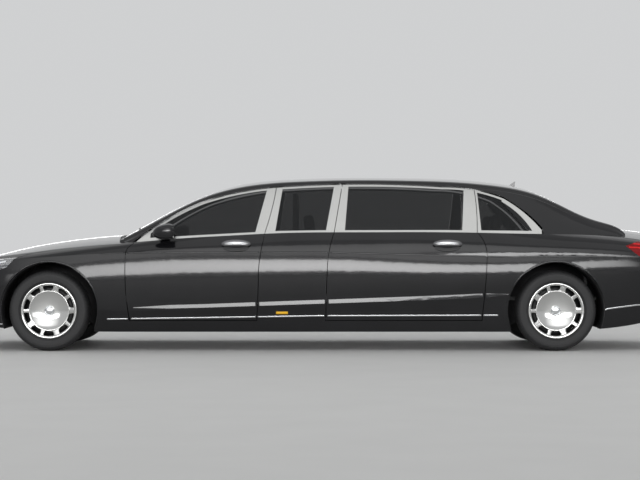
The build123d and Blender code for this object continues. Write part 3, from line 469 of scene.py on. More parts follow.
@dataclass
class Studio:
    """The pale room: floor, sky, soft lamps and the camera at the photograph's viewing angle."""

    side_plane: float = -0.95
    distance: float = 16.0
    metres_per_pixel: float = 0.008685
    image_width: int = 640
    sensor: float = 36.0
    sight: float = 200.0
    centre: tuple[float, float] = (0.011, 0.967)
    floor_colour: Colour = (0.74, 0.74, 0.73)
    floor_radius: float = 30.0
    floor_corners: int = 128
    sky_tint: Colour = (0.98, 0.99, 1.0)
    sky_light: float = 0.42
    sky_seen: float = 0.64
    lamps: tuple[Lamp, ...] = (
        Lamp("high_side", (0, -6.0, 8.0), (0, -0.9, 1.3), (18.0, 5.0), 90.0),
        Lamp("overhead", (0, 3.0, 9.0), (0, 0, 1.0), (14.0, 5.0), 120.0),
        Lamp("side_strip", (0, -24.0, 3.3), (0, 0, 0.9), (46.0, 3.6), 620.0, 60.0),
        Lamp("side_wall", (0, -22.0, 9.5), (0, 0, 0.9), (46.0, 7.0), 170.0, 60.0),
        Lamp("far_strip", (0, 24.0, 1.9), (0, 0, 0.9), (46.0, 1.0), 75.0, 60.0),
    )

    def camera(self) -> None:
        """A level camera whose frame at the car's near side is the photograph's."""
        data = bpy.data.cameras.new("camera")
        data.sensor_width = self.sensor
        data.lens = self.sensor * self.distance / (self.image_width * self.metres_per_pixel)
        data.clip_end = self.sight
        camera = bpy.data.objects.new("camera", data)
        camera.location = (self.centre[0], self.side_plane - self.distance, self.centre[1])
        camera.rotation_euler = (math.pi / 2, 0.0, 0.0)
        bpy.context.collection.objects.link(camera)
        bpy.context.scene.camera = camera

    def floor(self) -> None:
        """A wide round pale floor."""
        turn = all_round(self.floor_corners)
        edge = self.floor_radius * grid(np.cos(turn), np.sin(turn), 0.0)
        floor = mesh_object("floor", Form(edge, [np.arange(self.floor_corners)[None, :]]))
        floor.data.materials.append(Matt("pale_floor", "floor", self.floor_colour).build().material)

    def world(self) -> None:
        """An even sky that camera, glossy and transmitted rays see as a pale backdrop."""
        world = bpy.data.worlds.new("studio")
        make = Nodes(world)
        kinds = ("Is Camera Ray", "Is Glossy Ray", "Is Transmission Ray")
        camera, glossy, through = (make.node("ShaderNodeLightPath", {}, {}, kind) for kind in kinds)
        strength = make.spread(camera.either(glossy).either(through), self.sky_light, self.sky_seen)
        inputs = {"Color": (*self.sky_tint, 1.0), "Strength": strength}
        background = make.node("ShaderNodeBackground", {}, inputs)
        make.node("ShaderNodeOutputWorld", {}, {"Surface": background})
        bpy.context.scene.world = world

    def build(self) -> None:
        """Sets up the whole room."""
        bpy.context.scene.view_settings.view_transform = "Standard"
        self.world()
        self.floor()
        self.camera()
        for lamp in self.lamps:
            lamp.build()


def mesh_object(name: str, form: "Form") -> bpy.types.Object:
    """A smooth-shaded mesh object of a form.

    Args:
        name: the object's name.
        form: its points and faces.

    Returns:
        The linked object.
    """
    mesh = bpy.data.meshes.new(name)
    faces = [corners for block in form.faces for corners in block.tolist()]
    mesh.from_pydata(form.points.tolist(), [], faces)
    mesh.polygons.foreach_set("use_smooth", np.ones(len(faces), bool))
    mesh.update()
    made = bpy.data.objects.new(name, mesh)
    bpy.context.collection.objects.link(made)
    return made


class Side(Enum):
    """The two sides of the car, by the sign of Y."""

    LEFT = -1
    RIGHT = 1

    @property
    def word(self) -> str:
        """The side's name."""
        return self.name.lower()


class Axle(Enum):
    """The two axles; the value is used in node and body names."""

    FRONT = "front"
    REAR = "rear"


@dataclass
class Form:
    """Points and faces of a closed surface."""

    points: Array
    faces: list[Array]

    @staticmethod
    def _quads(rows: int, columns: int, wrap_rows: bool) -> Array:
        """Quads of a grid that closes along its columns.

        Args:
            rows: the grid's rows.
            columns: the grid's columns.
            wrap_rows: whether it closes along its rows too.

        Returns:
            (n, 4) corner numbers.
        """
        row = np.arange(rows if wrap_rows else rows - 1)[:, None]
        column = np.arange(columns)[None, :]
        after = (column + 1) % columns
        here, below = row * columns, (row + 1) % rows * columns
        corners = [here + column, here + after, below + after, below + column]
        return np.stack(np.broadcast_arrays(*corners), -1).reshape(-1, 4)

    @classmethod
    def loop(cls, points: Array) -> "Form":
        """A grid (rows, columns, 3) that closes both ways, as a ring does."""
        rows, columns = points.shape[:2]
        return cls(points.reshape(-1, 3), [cls._quads(rows, columns, True)]).outward()

    @classmethod
    def rod(cls, points: Array) -> "Form":
        """A grid whose columns close, with its first and last row closed by a fan to their middle.

        Args:
            points: (rows, columns, 3) places.

        Returns:
            The closed form.
        """
        rows, columns = points.shape[:2]
        ends = points[[0, -1]].mean(axis=1)
        first, last = rows * columns, rows * columns + 1
        here = np.arange(columns)
        after = (here + 1) % columns
        low = np.stack([np.full(columns, first), after, here], -1)
        shift = (rows - 1) * columns
        high = np.stack([np.full(columns, last), here + shift, after + shift], -1)
        every = np.concatenate([points.reshape(-1, 3), ends])
        return cls(every, [cls._quads(rows, columns, False), low, high]).outward()

    @classmethod
    def revolve(
        cls, centre: Array, along: Array, radius: Array, around: int, sink: Array | float = 0.0
    ) -> "Form":
        """A closed half section turned about an axis parallel to Y.

        P(k, a) = centre + (r sin a, y, r cos a), where y and r are the section's k-th pair.

        Args:
            centre: a point of the axis.
            along: the section's Y values.
            radius: the section's radii.
            around: steps round the axis.
            sink: radius taken off, (section, around).

        Returns:
            The closed ring.
        """
        angle = all_round(around)[None, :]
        reach = radius[:, None] - sink
        return cls.loop(grid(reach * np.sin(angle), along[:, None], reach * np.cos(angle)) + centre)

    @classmethod
    def pillow(cls, centre: Sequence[float], half: Sequence[float], power: float, steps: int) -> "Form":
        """A rounded block.

        P(u, v) = centre + half * (c(v) c(u), c(v) s(u), s(v)), where c and s are the cosine and sine
        with their size raised to 2 / power, so that a larger power is squarer.

        Args:
            centre: its middle.
            half: half of its length, width and height.
            power: its squareness; 2 is an ellipsoid.
            steps: rows from pole to pole.

        Returns:
            The closed form.
        """
        v = np.linspace(-np.pi / 2, np.pi / 2, num=steps + 1)[1:-1, None]
        u = all_round(2 * steps)[None, :]
        cos_u, sin_u, cos_v, sin_v = (
            signed_power(wave(angle), 2.0 / power) for angle in (u, v) for wave in (np.cos, np.sin)
        )
        unit = grid(cos_v * cos_u, cos_v * sin_u, sin_v)
        made = cls.rod(unit * np.asarray(half) + np.asarray(centre))
        made.points[-2:] = np.asarray(centre) + np.array([[0, 0, -half[2]], [0, 0, half[2]]])
        return made

    def outward(self) -> "Form":
        """Turns the faces outwards, judged by the sign of the volume that they close.

        Returns:
            The same form.
        """
        fans = [block[:, [0, k, k + 1]] for block in self.faces for k in range(1, block.shape[1] - 1)]
        a, b, c = (self.points[np.concatenate(fans)[:, k]] for k in range(3))
        if np.einsum("ij,ij->", a, np.cross(b, c)) < 0:
            self.faces = [block[:, ::-1] for block in self.faces]
        return self

    def joined(self, *others: "Form") -> "Form":
        """This form and others as one.

        Args:
            others: the other forms.

        Returns:
            A new form.
        """
        points, faces = [self.points], list(self.faces)
        total = len(self.points)
        for other in others:
            points.append(other.points)
            faces.extend(block + total for block in other.faces)
            total += len(other.points)
        return Form(np.concatenate(points), faces)


@dataclass(frozen=True)
class Block:
    """A rounded block: its middle, half sizes, squareness and rows from pole to pole."""

    centre: Point
    half: Point
    power: float
    steps: int = 24

    def form(self) -> Form:
        """The block's surface."""
        return Form.pillow(self.centre, self.half, self.power, self.steps)


class Skin:
    """The outside of the CAD car, on which trim is laid by casting rays."""

    def __init__(self) -> None:
        """Gathers the triangles of every CAD node."""
        points, faces, owner, total = [], [], [], 0
        self.names = list(frame["nodes"])
        for number, node in enumerate(frame["nodes"].values()):
            mesh = node.data
            mesh.calc_loop_triangles()
            place = np.empty(3 * len(mesh.vertices), np.float32)
            mesh.vertices.foreach_get("co", place)
            corner = np.empty(3 * len(mesh.loop_triangles), np.int32)
            mesh.loop_triangles.foreach_get("vertices", corner)
            points.append(place.reshape(-1, 3))
            faces.append(corner.reshape(-1, 3) + total)
            owner.append(np.full(len(mesh.loop_triangles), number))
            total += len(mesh.vertices)
        self.owner = np.concatenate(owner)
        self.tree = BVHTree.FromPolygons(np.concatenate(points).tolist(), np.concatenate(faces).tolist())

    def hit(self, start: Array, direction: Array) -> Array:
        """Where rays first meet the car.

        Args:
            start: (..., 3) places outside it.
            direction: (..., 3) unit directions.

        Returns:
            The places met, in the shape of start; a ray that misses gives its start.
        """
        origins = start.reshape(-1, 3)
        ways = np.broadcast_to(direction, start.shape).reshape(-1, 3)
        met = [self.tree.ray_cast(Vector(o), Vector(w))[0] for o, w in zip(origins, ways)]
        found = [o if place is None else place for o, place in zip(origins, met)]
        return np.array(found, float).reshape(start.shape)

    def panels(self, start: Array, direction: Array) -> Array:
        """The name of the CAD node that each ray first meets, or an empty name."""
        met = [self.tree.ray_cast(Vector(o), Vector(w))[2] for o, w in zip(start, direction)]
        return np.array(["" if face is None else self.names[self.owner[face]] for face in met])

    def runs(self, cast: Cast, keep: Sequence[str], trim: int, shortest: int = 6) -> list[tuple[str, slice]]:
        """The stretches of a row of rays that meet one panel.

        Args:
            cast: (n, 3) places outside the car and unit directions.
            keep: how the names of wanted panels begin.
            trim: places left out at both ends of a stretch.
            shortest: a stretch of so few places is left out.

        Returns:
            The panel's name and its stretch, for each stretch.
        """
        names = self.panels(*cast)
        cuts = [0, *(np.flatnonzero(names[1:] != names[:-1]) + 1), len(names)]
        found = [(str(names[a]), slice(a + trim, b - trim)) for a, b in zip(cuts[:-1], cuts[1:])]
        wanted = [(name, run) for name, run in found if name.startswith(tuple(keep))]
        return [(name, run) for name, run in wanted if run.stop - run.start > shortest]

    def laid(
        self, start: Array, way: Array, across: Array, profile: "Profile", width: Array | float = 1.0
    ) -> Form:
        """A trim strip laid on the car.

        P(k, j) = hit(start_k + width_k sway_j across_k) - width_k lift_j way_k

        Args:
            start: (n, 3) places outside the car.
            way: (n, 3) unit directions of the rays.
            across: (n, 3) unit directions over the strip's width.
            profile: the strip's section.
            width: a share of the section's size, for each place.

        Returns:
            The closed strip.
        """
        share = np.broadcast_to(width, (len(start),))[:, None, None]
        ways = np.broadcast_to(way[:, None, :], (len(start), len(profile.sway), 3))
        met = self.hit(start[:, None, :] + share * profile.sway[None, :, None] * across[:, None, :], ways)
        return Form.rod(met - ways * share * profile.lift[None, :, None])


@dataclass(frozen=True)
class Profile:
    """A strip's section: places over its width and how far each stands proud of the skin."""

    sway: Array
    lift: Array

    @classmethod
    def _backed(cls, sway: Array, lift: Array) -> "Profile":
        """A section whose front is given and whose back lies just below the skin."""
        return cls(np.concatenate([sway, sway[::-1]]), np.concatenate([lift, np.full(len(sway), -SUNK)]))

    @classmethod
    def oval(cls, half: float, bulge: float, steps: int = 14) -> "Profile":
        """A bulging bar: lift = bulge sqrt(sin a) where sway = half cos a, and sunk below the skin behind.

        Args:
            half: half of its width.
            bulge: how far its middle stands proud.
            steps: points round it.

        Returns:
            The section.
        """
        angle = (np.arange(steps) + 0.5) * 2 * np.pi / steps
        sine = np.sin(angle)
        return cls(half * np.cos(angle), np.where(sine > 0, bulge * np.sqrt(np.abs(sine)), -SUNK))

    @classmethod
    def plate(cls, half: float, proud: float, steps: int = 9) -> "Profile":
        """A flat plate with rounded edges: lift = proud (1 - |sway / half|^8)."""
        sway = np.linspace(half, -half, num=steps)
        return cls._backed(sway, proud * (1.0 - np.abs(sway / half) ** 8))

    @classmethod
    def ledge(cls, half: float, reach: float, steps: int = 9) -> "Profile":
        """A shelf that rises evenly from the skin at its upper edge to reach at its lower edge."""
        return cls._backed(np.linspace(half, -half, num=steps), reach * np.linspace(0.0, 1.0, num=steps))


@dataclass
class Assembly:
    """A sub-assembly of the car: its finishes and the skin it is laid on."""

    palette: Palette
    skin: Skin

    def add(
        self, name: str, form: Form, coat: Coat, body: str = "body", stands_for: Sequence[str] = ()
    ) -> bpy.types.Object:
        """Makes one piece.

        Args:
            name: its name.
            form: its surface.
            coat: its material and slot.
            body: the body it rides on.
            stands_for: CAD nodes it replaces.

        Returns:
            The piece.
        """
        made = mesh_object(name, form)
        made.data.materials.append(coat.material)
        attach(made, body)
        if stands_for:
            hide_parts(*stands_for)
        LOG.info("%s on %s: %d points", name, body, len(form.points))
        return made


@dataclass
class Wheel(Assembly):
    """A tyre with tread and sidewall rings on a rim with a hollow dish and ten slots.

    A section's pairs are distances outwards from the wheel's middle plane, and radii.
    """

    axle: Axle
    side: Side
    bead: float = 0.232
    squareness: float = 3.4
    section_steps: int = 220
    tread_share: float = 0.84
    groove_depth: float = 0.007
    groove_half: float = 0.0045
    grooves: Row = (-0.054, -0.019, 0.019, 0.054)
    ring_steps: int = 120
    pitches: int = 72
    steps_a_pitch: int = 4
    sipe_depth: float = 0.004
    shoulder: float = 0.062
    shoulder_sine: float = 0.25
    wall_cosine: float = 0.5
    wall_rings: Row = (0.262, 0.300, 0.318)
    wall_ring_half: float = 0.0035
    wall_ring_height: float = 0.0011
    wall_tuck: float = 0.0012
    spoke_in: float = 0.166
    spoke_out: float = 0.220
    spoke_pairs: int = 5
    spoke_halves: tuple[float, float] = (0.0150, 0.0235)
    first_spoke: float = math.radians(-18.7)
    spoke_flares: tuple[float, float] = (1.0, 0.45)
    spoke_depth: float = 0.070
    spoke_rise: float = 0.012
    spoke_half_depth: float = 0.013
    dish_in: float = 0.036
    dish_out: float = 0.172
    dish_floor: float = 0.064
    dish_hollow: float = 0.029
    dish_edge: Section = (
        (0.0915, 0.1755), (0.088, 0.1775), (0.078, 0.1765), (0.072, 0.168), (0.050, 0.080), (0.050, 0.036),
    )
    hub: Section = ((0.060, 0.031), (0.060, 0.078), (-0.030, 0.078), (-0.030, 0.031))
    barrel: Section = (
        (0.104, 0.2235), (0.1065, 0.229), (0.1075, 0.236), (0.106, 0.2425), (0.101, 0.2455), (0.094, 0.2455),
        (0.094, 0.2290), (-0.094, 0.2290), (-0.094, 0.2455), (-0.107, 0.2455), (-0.107, 0.2160),
        (0.076, 0.2160), (0.096, 0.2175),
    )
    disc: Section = ((0.002, 0.080), (0.002, 0.185), (-0.030, 0.185), (-0.030, 0.080))
    # A dark ring just outside the disc and behind the spoke slots: it stands for the brake shield and paints
    # the shade that falls behind the spokes.
    shield: Section = ((0.014, 0.150), (0.014, 0.2145), (0.010, 0.2145), (0.010, 0.150))
    cap_ring: Section = ((0.064, 0.034), (0.0735, 0.036), (0.0745, 0.039), (0.071, 0.042), (0.060, 0.043))
    cap_out: float = 0.066
    cap_half: Point = (0.036, 0.009, 0.036)

    def tyre(self, centre: Array, half_width: float, radius: float) -> Form:
        """A tyre whose section is a squared oval, with grooves round it and sipes across its shoulders.

        y = w |cos t|^(2/s), r = m + h |sin t|^(2/s), signed as the cosine and sine are, with s the
        squareness; three fine rings stand on each wall.

        Args:
            centre: the wheel's middle.
            half_width: half of its width.
            radius: its outer radius.

        Returns:
            The closed ring.
        """
        turn = np.linspace(-np.pi / 2, 3 * np.pi / 2, self.section_steps, endpoint=False)
        power = 2.0 / self.squareness
        cosine, sine = np.cos(turn), np.sin(turn)
        along = half_width * signed_power(cosine, power)
        middle, height = (radius + self.bead) / 2, (radius - self.bead) / 2
        reach = middle + height * signed_power(sine, power)
        off_ring = (reach[:, None] - np.array(self.wall_rings)) / self.wall_ring_half
        rings = self.wall_ring_height * np.exp(-(off_ring**2)).sum(axis=1)
        proud = np.where(np.abs(cosine) > self.wall_cosine, rings, 0.0) - self.wall_tuck
        along = along + np.sign(along) * proud
        tread = (sine > 0) & (np.abs(along) < self.tread_share * half_width)
        channel = np.abs(along[:, None] - np.array(self.grooves)) < self.groove_half
        sink = self.groove_depth * (channel.any(axis=1) & tread)[:, None]
        steps = self.steps_a_pitch * self.pitches
        sipe = np.arange(steps)[None, :] % self.steps_a_pitch == 0
        shoulder = ((sine > self.shoulder_sine) & (np.abs(along) > self.shoulder))[:, None]
        sink = np.maximum(sink, self.sipe_depth * (shoulder & sipe))
        return Form.revolve(centre, along, reach, steps, sink)

    def ring(self, centre: Array, section: Section) -> Form:
        """A ring of a section round the wheel's axis."""
        along, radius = np.array(section).T
        return Form.revolve(centre, self.side.value * along, radius, self.ring_steps)

    def spoke(self, centre: Array, angle: float, half: float) -> Form:
        """One bridge between the dish and the barrel.

        P(r, t) = centre + r u + w(r) c(t) v + (y(r) + d s(t)) outwards, with u and v along and square to
        the spoke, c and s a squared cosine and sine, and w wider at both ends.

        Args:
            centre: the wheel's middle.
            angle: the spoke's angle from the top.
            half: half of its width.

        Returns:
            The closed spoke.
        """
        share = np.linspace(0.0, 1.0, num=13)[:, None, None]
        turn = all_round(24)[None, :, None]
        radius = self.spoke_in + (self.spoke_out - self.spoke_in) * share
        inner, outer = self.spoke_flares
        wide = half * (1.0 + inner * (1 - share) ** 3 + outer * share**4) * signed_power(np.cos(turn), 0.5)
        depth = self.spoke_depth + self.spoke_rise * share
        depth = depth + self.spoke_half_depth * signed_power(np.sin(turn), 0.5)
        along = np.array([math.sin(angle), 0.0, math.cos(angle)])
        over = np.array([math.cos(angle), 0.0, -math.sin(angle)])
        outwards = np.array([0.0, self.side.value, 0.0])
        return Form.rod(centre + radius * along + wide * over + depth * outwards)

    def rim(self, centre: Array) -> Form:
        """The barrel with its flanges, ten bridges and a dish round the hub.

        The dish's front is y = f + h ((r - a) / (b - a))^2 between the radii a and b, so it is hollow
        outwards.

        Args:
            centre: the wheel's middle.

        Returns:
            The joined rim.
        """
        radius = np.linspace(self.dish_in, self.dish_out, num=26)
        share = (radius - self.dish_in) / (self.dish_out - self.dish_in)
        front = self.dish_floor + self.dish_hollow * share**2
        dish = (*zip(front, radius), *self.dish_edge)
        gap = 2 * np.pi / (2 * self.spoke_pairs)
        spokes = [
            self.spoke(centre, self.first_spoke + number * gap, self.spoke_halves[number % 2])
            for number in range(2 * self.spoke_pairs)
        ]
        barrel, bowl, hub = (self.ring(centre, section) for section in (self.barrel, dish, self.hub))
        return barrel.joined(bowl, hub, *spokes)

    def build(self) -> None:
        """Makes the tyre, the rim, the brake disc, a dark ring behind the slots that stands for the brake
        shield and is painted shade there, and the hub cap.
        """
        axle, side = self.axle.value, self.side.word
        name, body = f"{axle}_{side}", f"{axle}_{side}_wheel"
        node = f"{axle}_tyre_{side}"
        low, high, centre = box_of(node)
        tyre = self.tyre(centre, (high[1] - low[1]) / 2, (high[2] - low[2]) / 2)
        self.add(f"{name}_tread_tyre", tyre, self.palette.rubber, body, [node])
        self.add(f"{name}_alloy", self.rim(centre), self.palette.alloy, body, [f"{axle}_rim_{side}"])
        self.add(f"{name}_brake_disc", self.ring(centre, self.disc), self.palette.steel, body)
        # The dark ring behind the slots: the brake shield, and painted shade behind the spokes.
        self.add(f"{name}_brake_shield", self.ring(centre, self.shield), self.palette.plastic, body)
        out = np.array([0.0, self.side.value * self.cap_out, 0.0])
        cap = Form.pillow(centre + out, self.cap_half, power=2.0, steps=40)
        cap = cap.joined(self.ring(centre, self.cap_ring))
        self.add(f"{name}_hub_cap", cap, self.palette.chrome, body)


@dataclass
class WheelHouse(Assembly):
    """The dark lining of a wheel arch: a round shell and its inner wall."""

    axle: Axle
    side: Side
    radius: float = 0.4195
    wall: float = 0.004
    outer: float = 0.897
    inner: float = 0.472
    hole: float = 0.12
    droop: float = math.radians(22.0)

    def build(self) -> None:
        """Makes the shell and the inner wall, each a thin section carried round the arch."""
        name = f"{self.axle.value}_{self.side.word}_arch"
        far, deep = self.radius + self.wall, self.inner + self.wall
        shell = ((self.radius, self.outer), (far, self.outer), (far, self.inner), (self.radius, self.inner))
        wall = ((self.hole, self.inner), (self.radius, self.inner), (self.radius, deep), (self.hole, deep))
        for part, section in (("liner", shell), ("wall", wall)):
            self.add(f"{name}_{part}", self.arc(section), self.palette.plastic)

    def arc(self, section: Section) -> Form:
        """A closed section carried round part of a circle about the wheel's axis.

        P(k, j) = (x - r_j cos a_k, y_j, z + r_j sin a_k)

        Args:
            section: radii, each with its distance from the car's middle.

        Returns:
            The closed form.
        """
        x, _, z = box_of(f"{self.axle.value}_tyre_{self.side.word}")[2]
        radius, depth = np.array(section).T
        a = np.linspace(-self.droop, np.pi + self.droop, num=65)[:, None]
        return Form.rod(grid(x - radius * np.cos(a), self.side.value * depth, z + radius * np.sin(a)))


class Rays(Enum):
    """How trim is laid on the car's ends; the value is where the rays come together, along X."""

    NOSE = -2.55
    TAIL = 2.45


@dataclass
class Trim(Assembly):
    """Trim that is laid on the car's skin by rays that start well outside it."""

    far: float = 1.6
    high: float = 2.0
    off_end: float = 2.0
    spacing: float = 0.004

    def lay(
        self, name: str, cast: Cast, profile: Profile, coat: Coat, keep: Sequence[str],
        trim: int = 2, every: int = 3, width: Array | float = 1.0,
    ) -> None:
        """Lays a strip along a row of places, split where one panel ends and the next begins.

        Args:
            name: the pieces' name.
            cast: (n, 3) places outside the car and unit directions.
            profile: the strip's section.
            coat: its material and slot.
            keep: how the names of the panels it lies on begin.
            trim: places left out at both ends of a panel.
            every: one place in so many is used.
            width: a share of the section's size, for each place.
        """
        start, way = cast
        run = np.gradient(start, axis=0)
        run /= np.linalg.norm(run, axis=1, keepdims=True)
        across = np.cross(run, way)
        across /= np.linalg.norm(across, axis=1, keepdims=True)
        share = np.broadcast_to(width, (len(start),))
        for number, (panel, piece) in enumerate(self.skin.runs(cast, keep, trim)):
            picked = np.unique(np.append(np.arange(piece.start, piece.stop, every), piece.stop - 1))
            form = self.skin.laid(start[picked], way[picked], across[picked], profile, share[picked])
            self.add(f"{name}_{number}", form, coat, frame["nodes"][panel]["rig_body"])

    def flank(self, side: Side, x: Array, z: Any) -> Cast:
        """Rays from beside the car straight inwards, for x and z."""
        start = grid(x, side.value * self.far, z)
        return start, np.broadcast_to(np.array([0.0, -float(side.value), 0.0]), start.shape)

    def above(self, x: Any, y: Any) -> Cast:
        """Rays from over the car straight down, for x and y."""
        start = grid(x, y, self.high)
        return start, np.broadcast_to(DOWN, start.shape)

    def line(self, side: Side, xs: Sequence[float], zs: Sequence[float]) -> Cast:
        """Close rays along a bent line on the flank."""
        x = np.arange(xs[0], xs[-1], self.spacing)
        return self.flank(side, x, np.interp(x, xs, zs))

    def round_end(self, rays: Rays, angles: Array, z: Any) -> Cast:
        """Rays round the nose or tail to its middle.

        Args:
            rays: which end.
            angles: their angles in plan; 0 is straight ahead or behind.
            z: their heights.

        Returns:
            The rays.
        """
        out = grid(math.copysign(1.0, rays.value) * np.cos(angles), np.sin(angles), 0.0)
        return self.off_end * out + grid(rays.value, 0.0, z + 0.0 * angles), -out


@dataclass
class SideTrim(Trim):
    """One side's shelf, shoulder line, sill strip and seal, window border, arch lips, marker and handles."""

    side: Side = Side.LEFT
    panels: tuple[str, ...] = ("fender", "front_door_", "rear_door_", "centre_panel", "body_side")
    crease_x: Row = (-1.63, -1.0, -0.01, 1.0, 1.70)
    crease_z: Row = (0.354, 0.370, 0.405, 0.440, 0.470)
    shelf_half: float = 0.024
    shelf_reach: float = 0.0115
    fade_x: Row = (-1.63, -1.30, 1.45, 1.70)
    fade: Row = (0.08, 0.8, 1.0, 0.10)
    swage_x: Row = (-1.90, -1.72, -1.0, -0.01, 1.0, 1.70, 2.35, 2.60)
    swage_z: Row = (0.849, 0.855, 0.860, 0.862, 0.836, 0.820, 0.822, 0.818)
    swage: Profile = Profile.oval(0.006, 0.004)
    sill_x: Row = (-1.856, -0.597, 0.011, 1.574)
    sill_z: Row = (0.277, 0.296, 0.306, 0.311)
    sill: Profile = Profile.oval(0.0065, 0.005)
    seal_x: tuple[float, float] = (-1.63, 1.60)
    seal_y: float = 0.815
    seal_z: float = 0.2765
    seal_half: tuple[float, float] = (0.014, 0.0155)
    border_z: Row = (1.305, 1.262, 1.220, 1.177, 1.135, 1.092, 1.050)
    border_in: Row = (1.607, 1.640, 1.676, 1.713, 1.749, 1.786, 1.822)
    border_out: Row = (1.6105, 1.673, 1.726, 1.770, 1.8075, 1.8385, 1.866)
    border_proud: float = 0.0008
    border_sunk: float = 0.008
    frame_y: tuple[float, float] = (0.6, 1.0)
    frame_slack: float = 0.001
    frame_rounds: int = 4
    lip_radius: float = 0.4325
    lip_degrees: tuple[float, float] = (8.0, 172.0)
    lip: Profile = Profile.oval(0.0062, 0.0035)
    marker_x: Row = (-0.380, -0.258)
    marker_z: float = 0.333
    marker: Profile = Profile.oval(0.0117, 0.006)
    handles: tuple[tuple[Axle, float], ...] = ((Axle.FRONT, -0.719), (Axle.REAR, 1.120))
    handle_z: float = 0.931
    skin_y: float = 0.9485
    cup_half: float = 0.112
    cup_z: float = 0.900
    cup_narrowest: float = 0.004
    # A dark plate laid on the door: painted shade of the body-colour recess behind the grip.
    cup: Profile = Profile.plate(0.036, 0.0012)
    grip: Block = Block((0.0, 0.0, 0.0), (0.128, 0.019, 0.031), 2.3, 40)
    grip_rise: float = 0.009
    inlay: Block = Block((0.0, 0.0, 0.0), (0.108, 0.006, 0.0055), 2.3, 20)
    inlay_proud: float = 0.0155
    inlay_rise: float = 0.012
    inlay_drop: float = 0.010
    bow_out: float = 0.004

    def shelf(self) -> None:
        """The painted shelf above the lower crease and the fine ridge along the shoulder."""
        cast = self.line(self.side, self.crease_x, np.array(self.crease_z) + self.shelf_half)
        share = np.interp(cast[0][:, 0], self.fade_x, self.fade)
        ledge = Profile.ledge(self.shelf_half, self.shelf_reach)
        self.lay(f"shelf_{self.side.word}", cast, ledge, self.palette.paint, self.panels, width=share)
        cast = self.line(self.side, self.swage_x, self.swage_z)
        self.lay(f"swage_{self.side.word}", cast, self.swage, self.palette.paint, self.panels)

    def sill_seal(self) -> None:
        """The rubber bulb along the sill behind the doors: an oval section carried straight along X."""
        x = np.linspace(*self.seal_x, num=60)[:, None]
        turn = all_round(18)
        y = self.side.value * (self.seal_y + self.seal_half[0] * np.cos(turn))
        form = Form.rod(grid(x, y, self.seal_z + self.seal_half[1] * np.sin(turn)))
        self.add(f"sill_seal_{self.side.word}", form, self.palette.plastic)

    def quarter_border(self) -> None:
        """The dark border of the quarter window's glass, which rounds the bright frame's inner edge.

        P(k, j) = (x, |y|(x, z), z) with x between the border's two edges, and |y| the quadric that fits
        the frame there best from outside; it stands a little proud in front and is sunk behind.
        """
        height = np.linspace(self.border_z[0], self.border_z[-1], num=60)[:, None]
        edges = (self.border_in, self.border_out)
        inner, outer = (np.polyval(np.polyfit(self.border_z, edge, deg=4), height) for edge in edges)
        x = inner + (outer - inner) * np.linspace(0.0, 1.0, num=13)
        z = np.broadcast_to(height, x.shape)
        met = self.side.value * self.skin.hit(*self.flank(self.side, x.ravel(), z.ravel()))[:, 1]
        terms = np.stack([np.ones(x.size), *(a.ravel() for a in (x, z, x * z, x**2, z**2))], -1)
        good = (met > self.frame_y[0]) & (met < self.frame_y[1])
        for _ in range(self.frame_rounds):
            fitted = terms @ np.linalg.lstsq(terms[good], met[good], rcond=None)[0]
            good &= met > fitted - self.frame_slack
        depth = fitted.reshape(x.shape) + max(float((met - fitted)[good].max()), 0.0)
        front = grid(x, self.side.value * (depth + self.border_proud), z)
        back = grid(x, self.side.value * (depth - self.border_sunk), z)
        form = Form.rod(np.concatenate([front, back[:, ::-1]], axis=1))
        self.add(f"quarter_border_{self.side.word}", form, self.palette.border)

    def arch_lips(self) -> None:
        """The rolled edges of the two wheel arches."""
        angle = np.linspace(*np.radians(self.lip_degrees), num=400)
        keep = (*self.panels, "front_bumper", "rear_bumper")
        for axle in Axle:
            x, _, z = box_of(f"{axle.value}_tyre_{self.side.word}")[2]
            round_arch = x - self.lip_radius * np.cos(angle), z + self.lip_radius * np.sin(angle)
            name = f"{axle.value}_arch_lip_{self.side.word}"
            self.lay(name, self.flank(self.side, *round_arch), self.lip, self.palette.paint, keep)

    def bowed(self, block: Block, x: float, proud: float, rise: float, drop: float) -> Form:
        """A part of a door handle, bowed outwards and up.

        With b = 1 - (x / l)^2 over the grip's half length l, a point moves outwards by o b + p sqrt(b)
        and up by r b - d.

        Args:
            block: its unbowed form.
            x: the handle's place along the car.
            proud: p.
            rise: r.
            drop: d.

        Returns:
            The form in its place.
        """
        form = block.form()
        bow = 1.0 - (form.points[:, 0] / self.grip.half[0]) ** 2
        out = self.skin_y + self.bow_out * bow + proud * np.sqrt(np.maximum(bow, 0.0))
        form.points += grid(x, self.side.value * out, self.handle_z + rise * bow - drop)
        return form

    def door_handles(self) -> None:
        """Dark plates that paint the shade of the recesses behind the grips, with smoked bow grips and a
        bright inlay.
        """
        across = np.linspace(-1.0, 1.0, num=61)
        width = np.sqrt(np.clip(1.0 - across**2, self.cup_narrowest, 1.0))
        for axle, x in self.handles:
            word, panel = f"{axle.value}_{self.side.word}", f"{axle.value}_door_{self.side.word}"
            # The cup is dark plastic on the flat skin, painted shade of the recess behind the grip.
            cast = self.flank(self.side, x + self.cup_half * across, self.cup_z)
            self.lay(
                f"{word}_handle_cup", cast, self.cup, self.palette.plastic, (panel,),
                trim=0, every=1, width=width,
            )
            grip = self.bowed(self.grip, x, 0.0, self.grip_rise, 0.0)
            self.add(f"{word}_grip", grip, self.palette.smoked, f"{word}_door")
            inlay = self.bowed(self.inlay, x, self.inlay_proud, self.inlay_rise, self.inlay_drop)
            self.add(f"{word}_grip_inlay", inlay, self.palette.chrome, f"{word}_door")

    def build(self) -> None:
        """Lays every piece of the side."""
        self.shelf()
        self.sill_seal()
        self.quarter_border()
        self.arch_lips()
        self.door_handles()
        cast = self.line(self.side, self.sill_x, self.sill_z)
        self.lay(f"sill_strip_{self.side.word}", cast, self.sill, self.palette.chrome, self.panels)
        cast = self.line(self.side, self.marker_x, (self.marker_z, self.marker_z))
        self.lay(f"side_marker_{self.side.word}", cast, self.marker, self.palette.amber, self.panels)


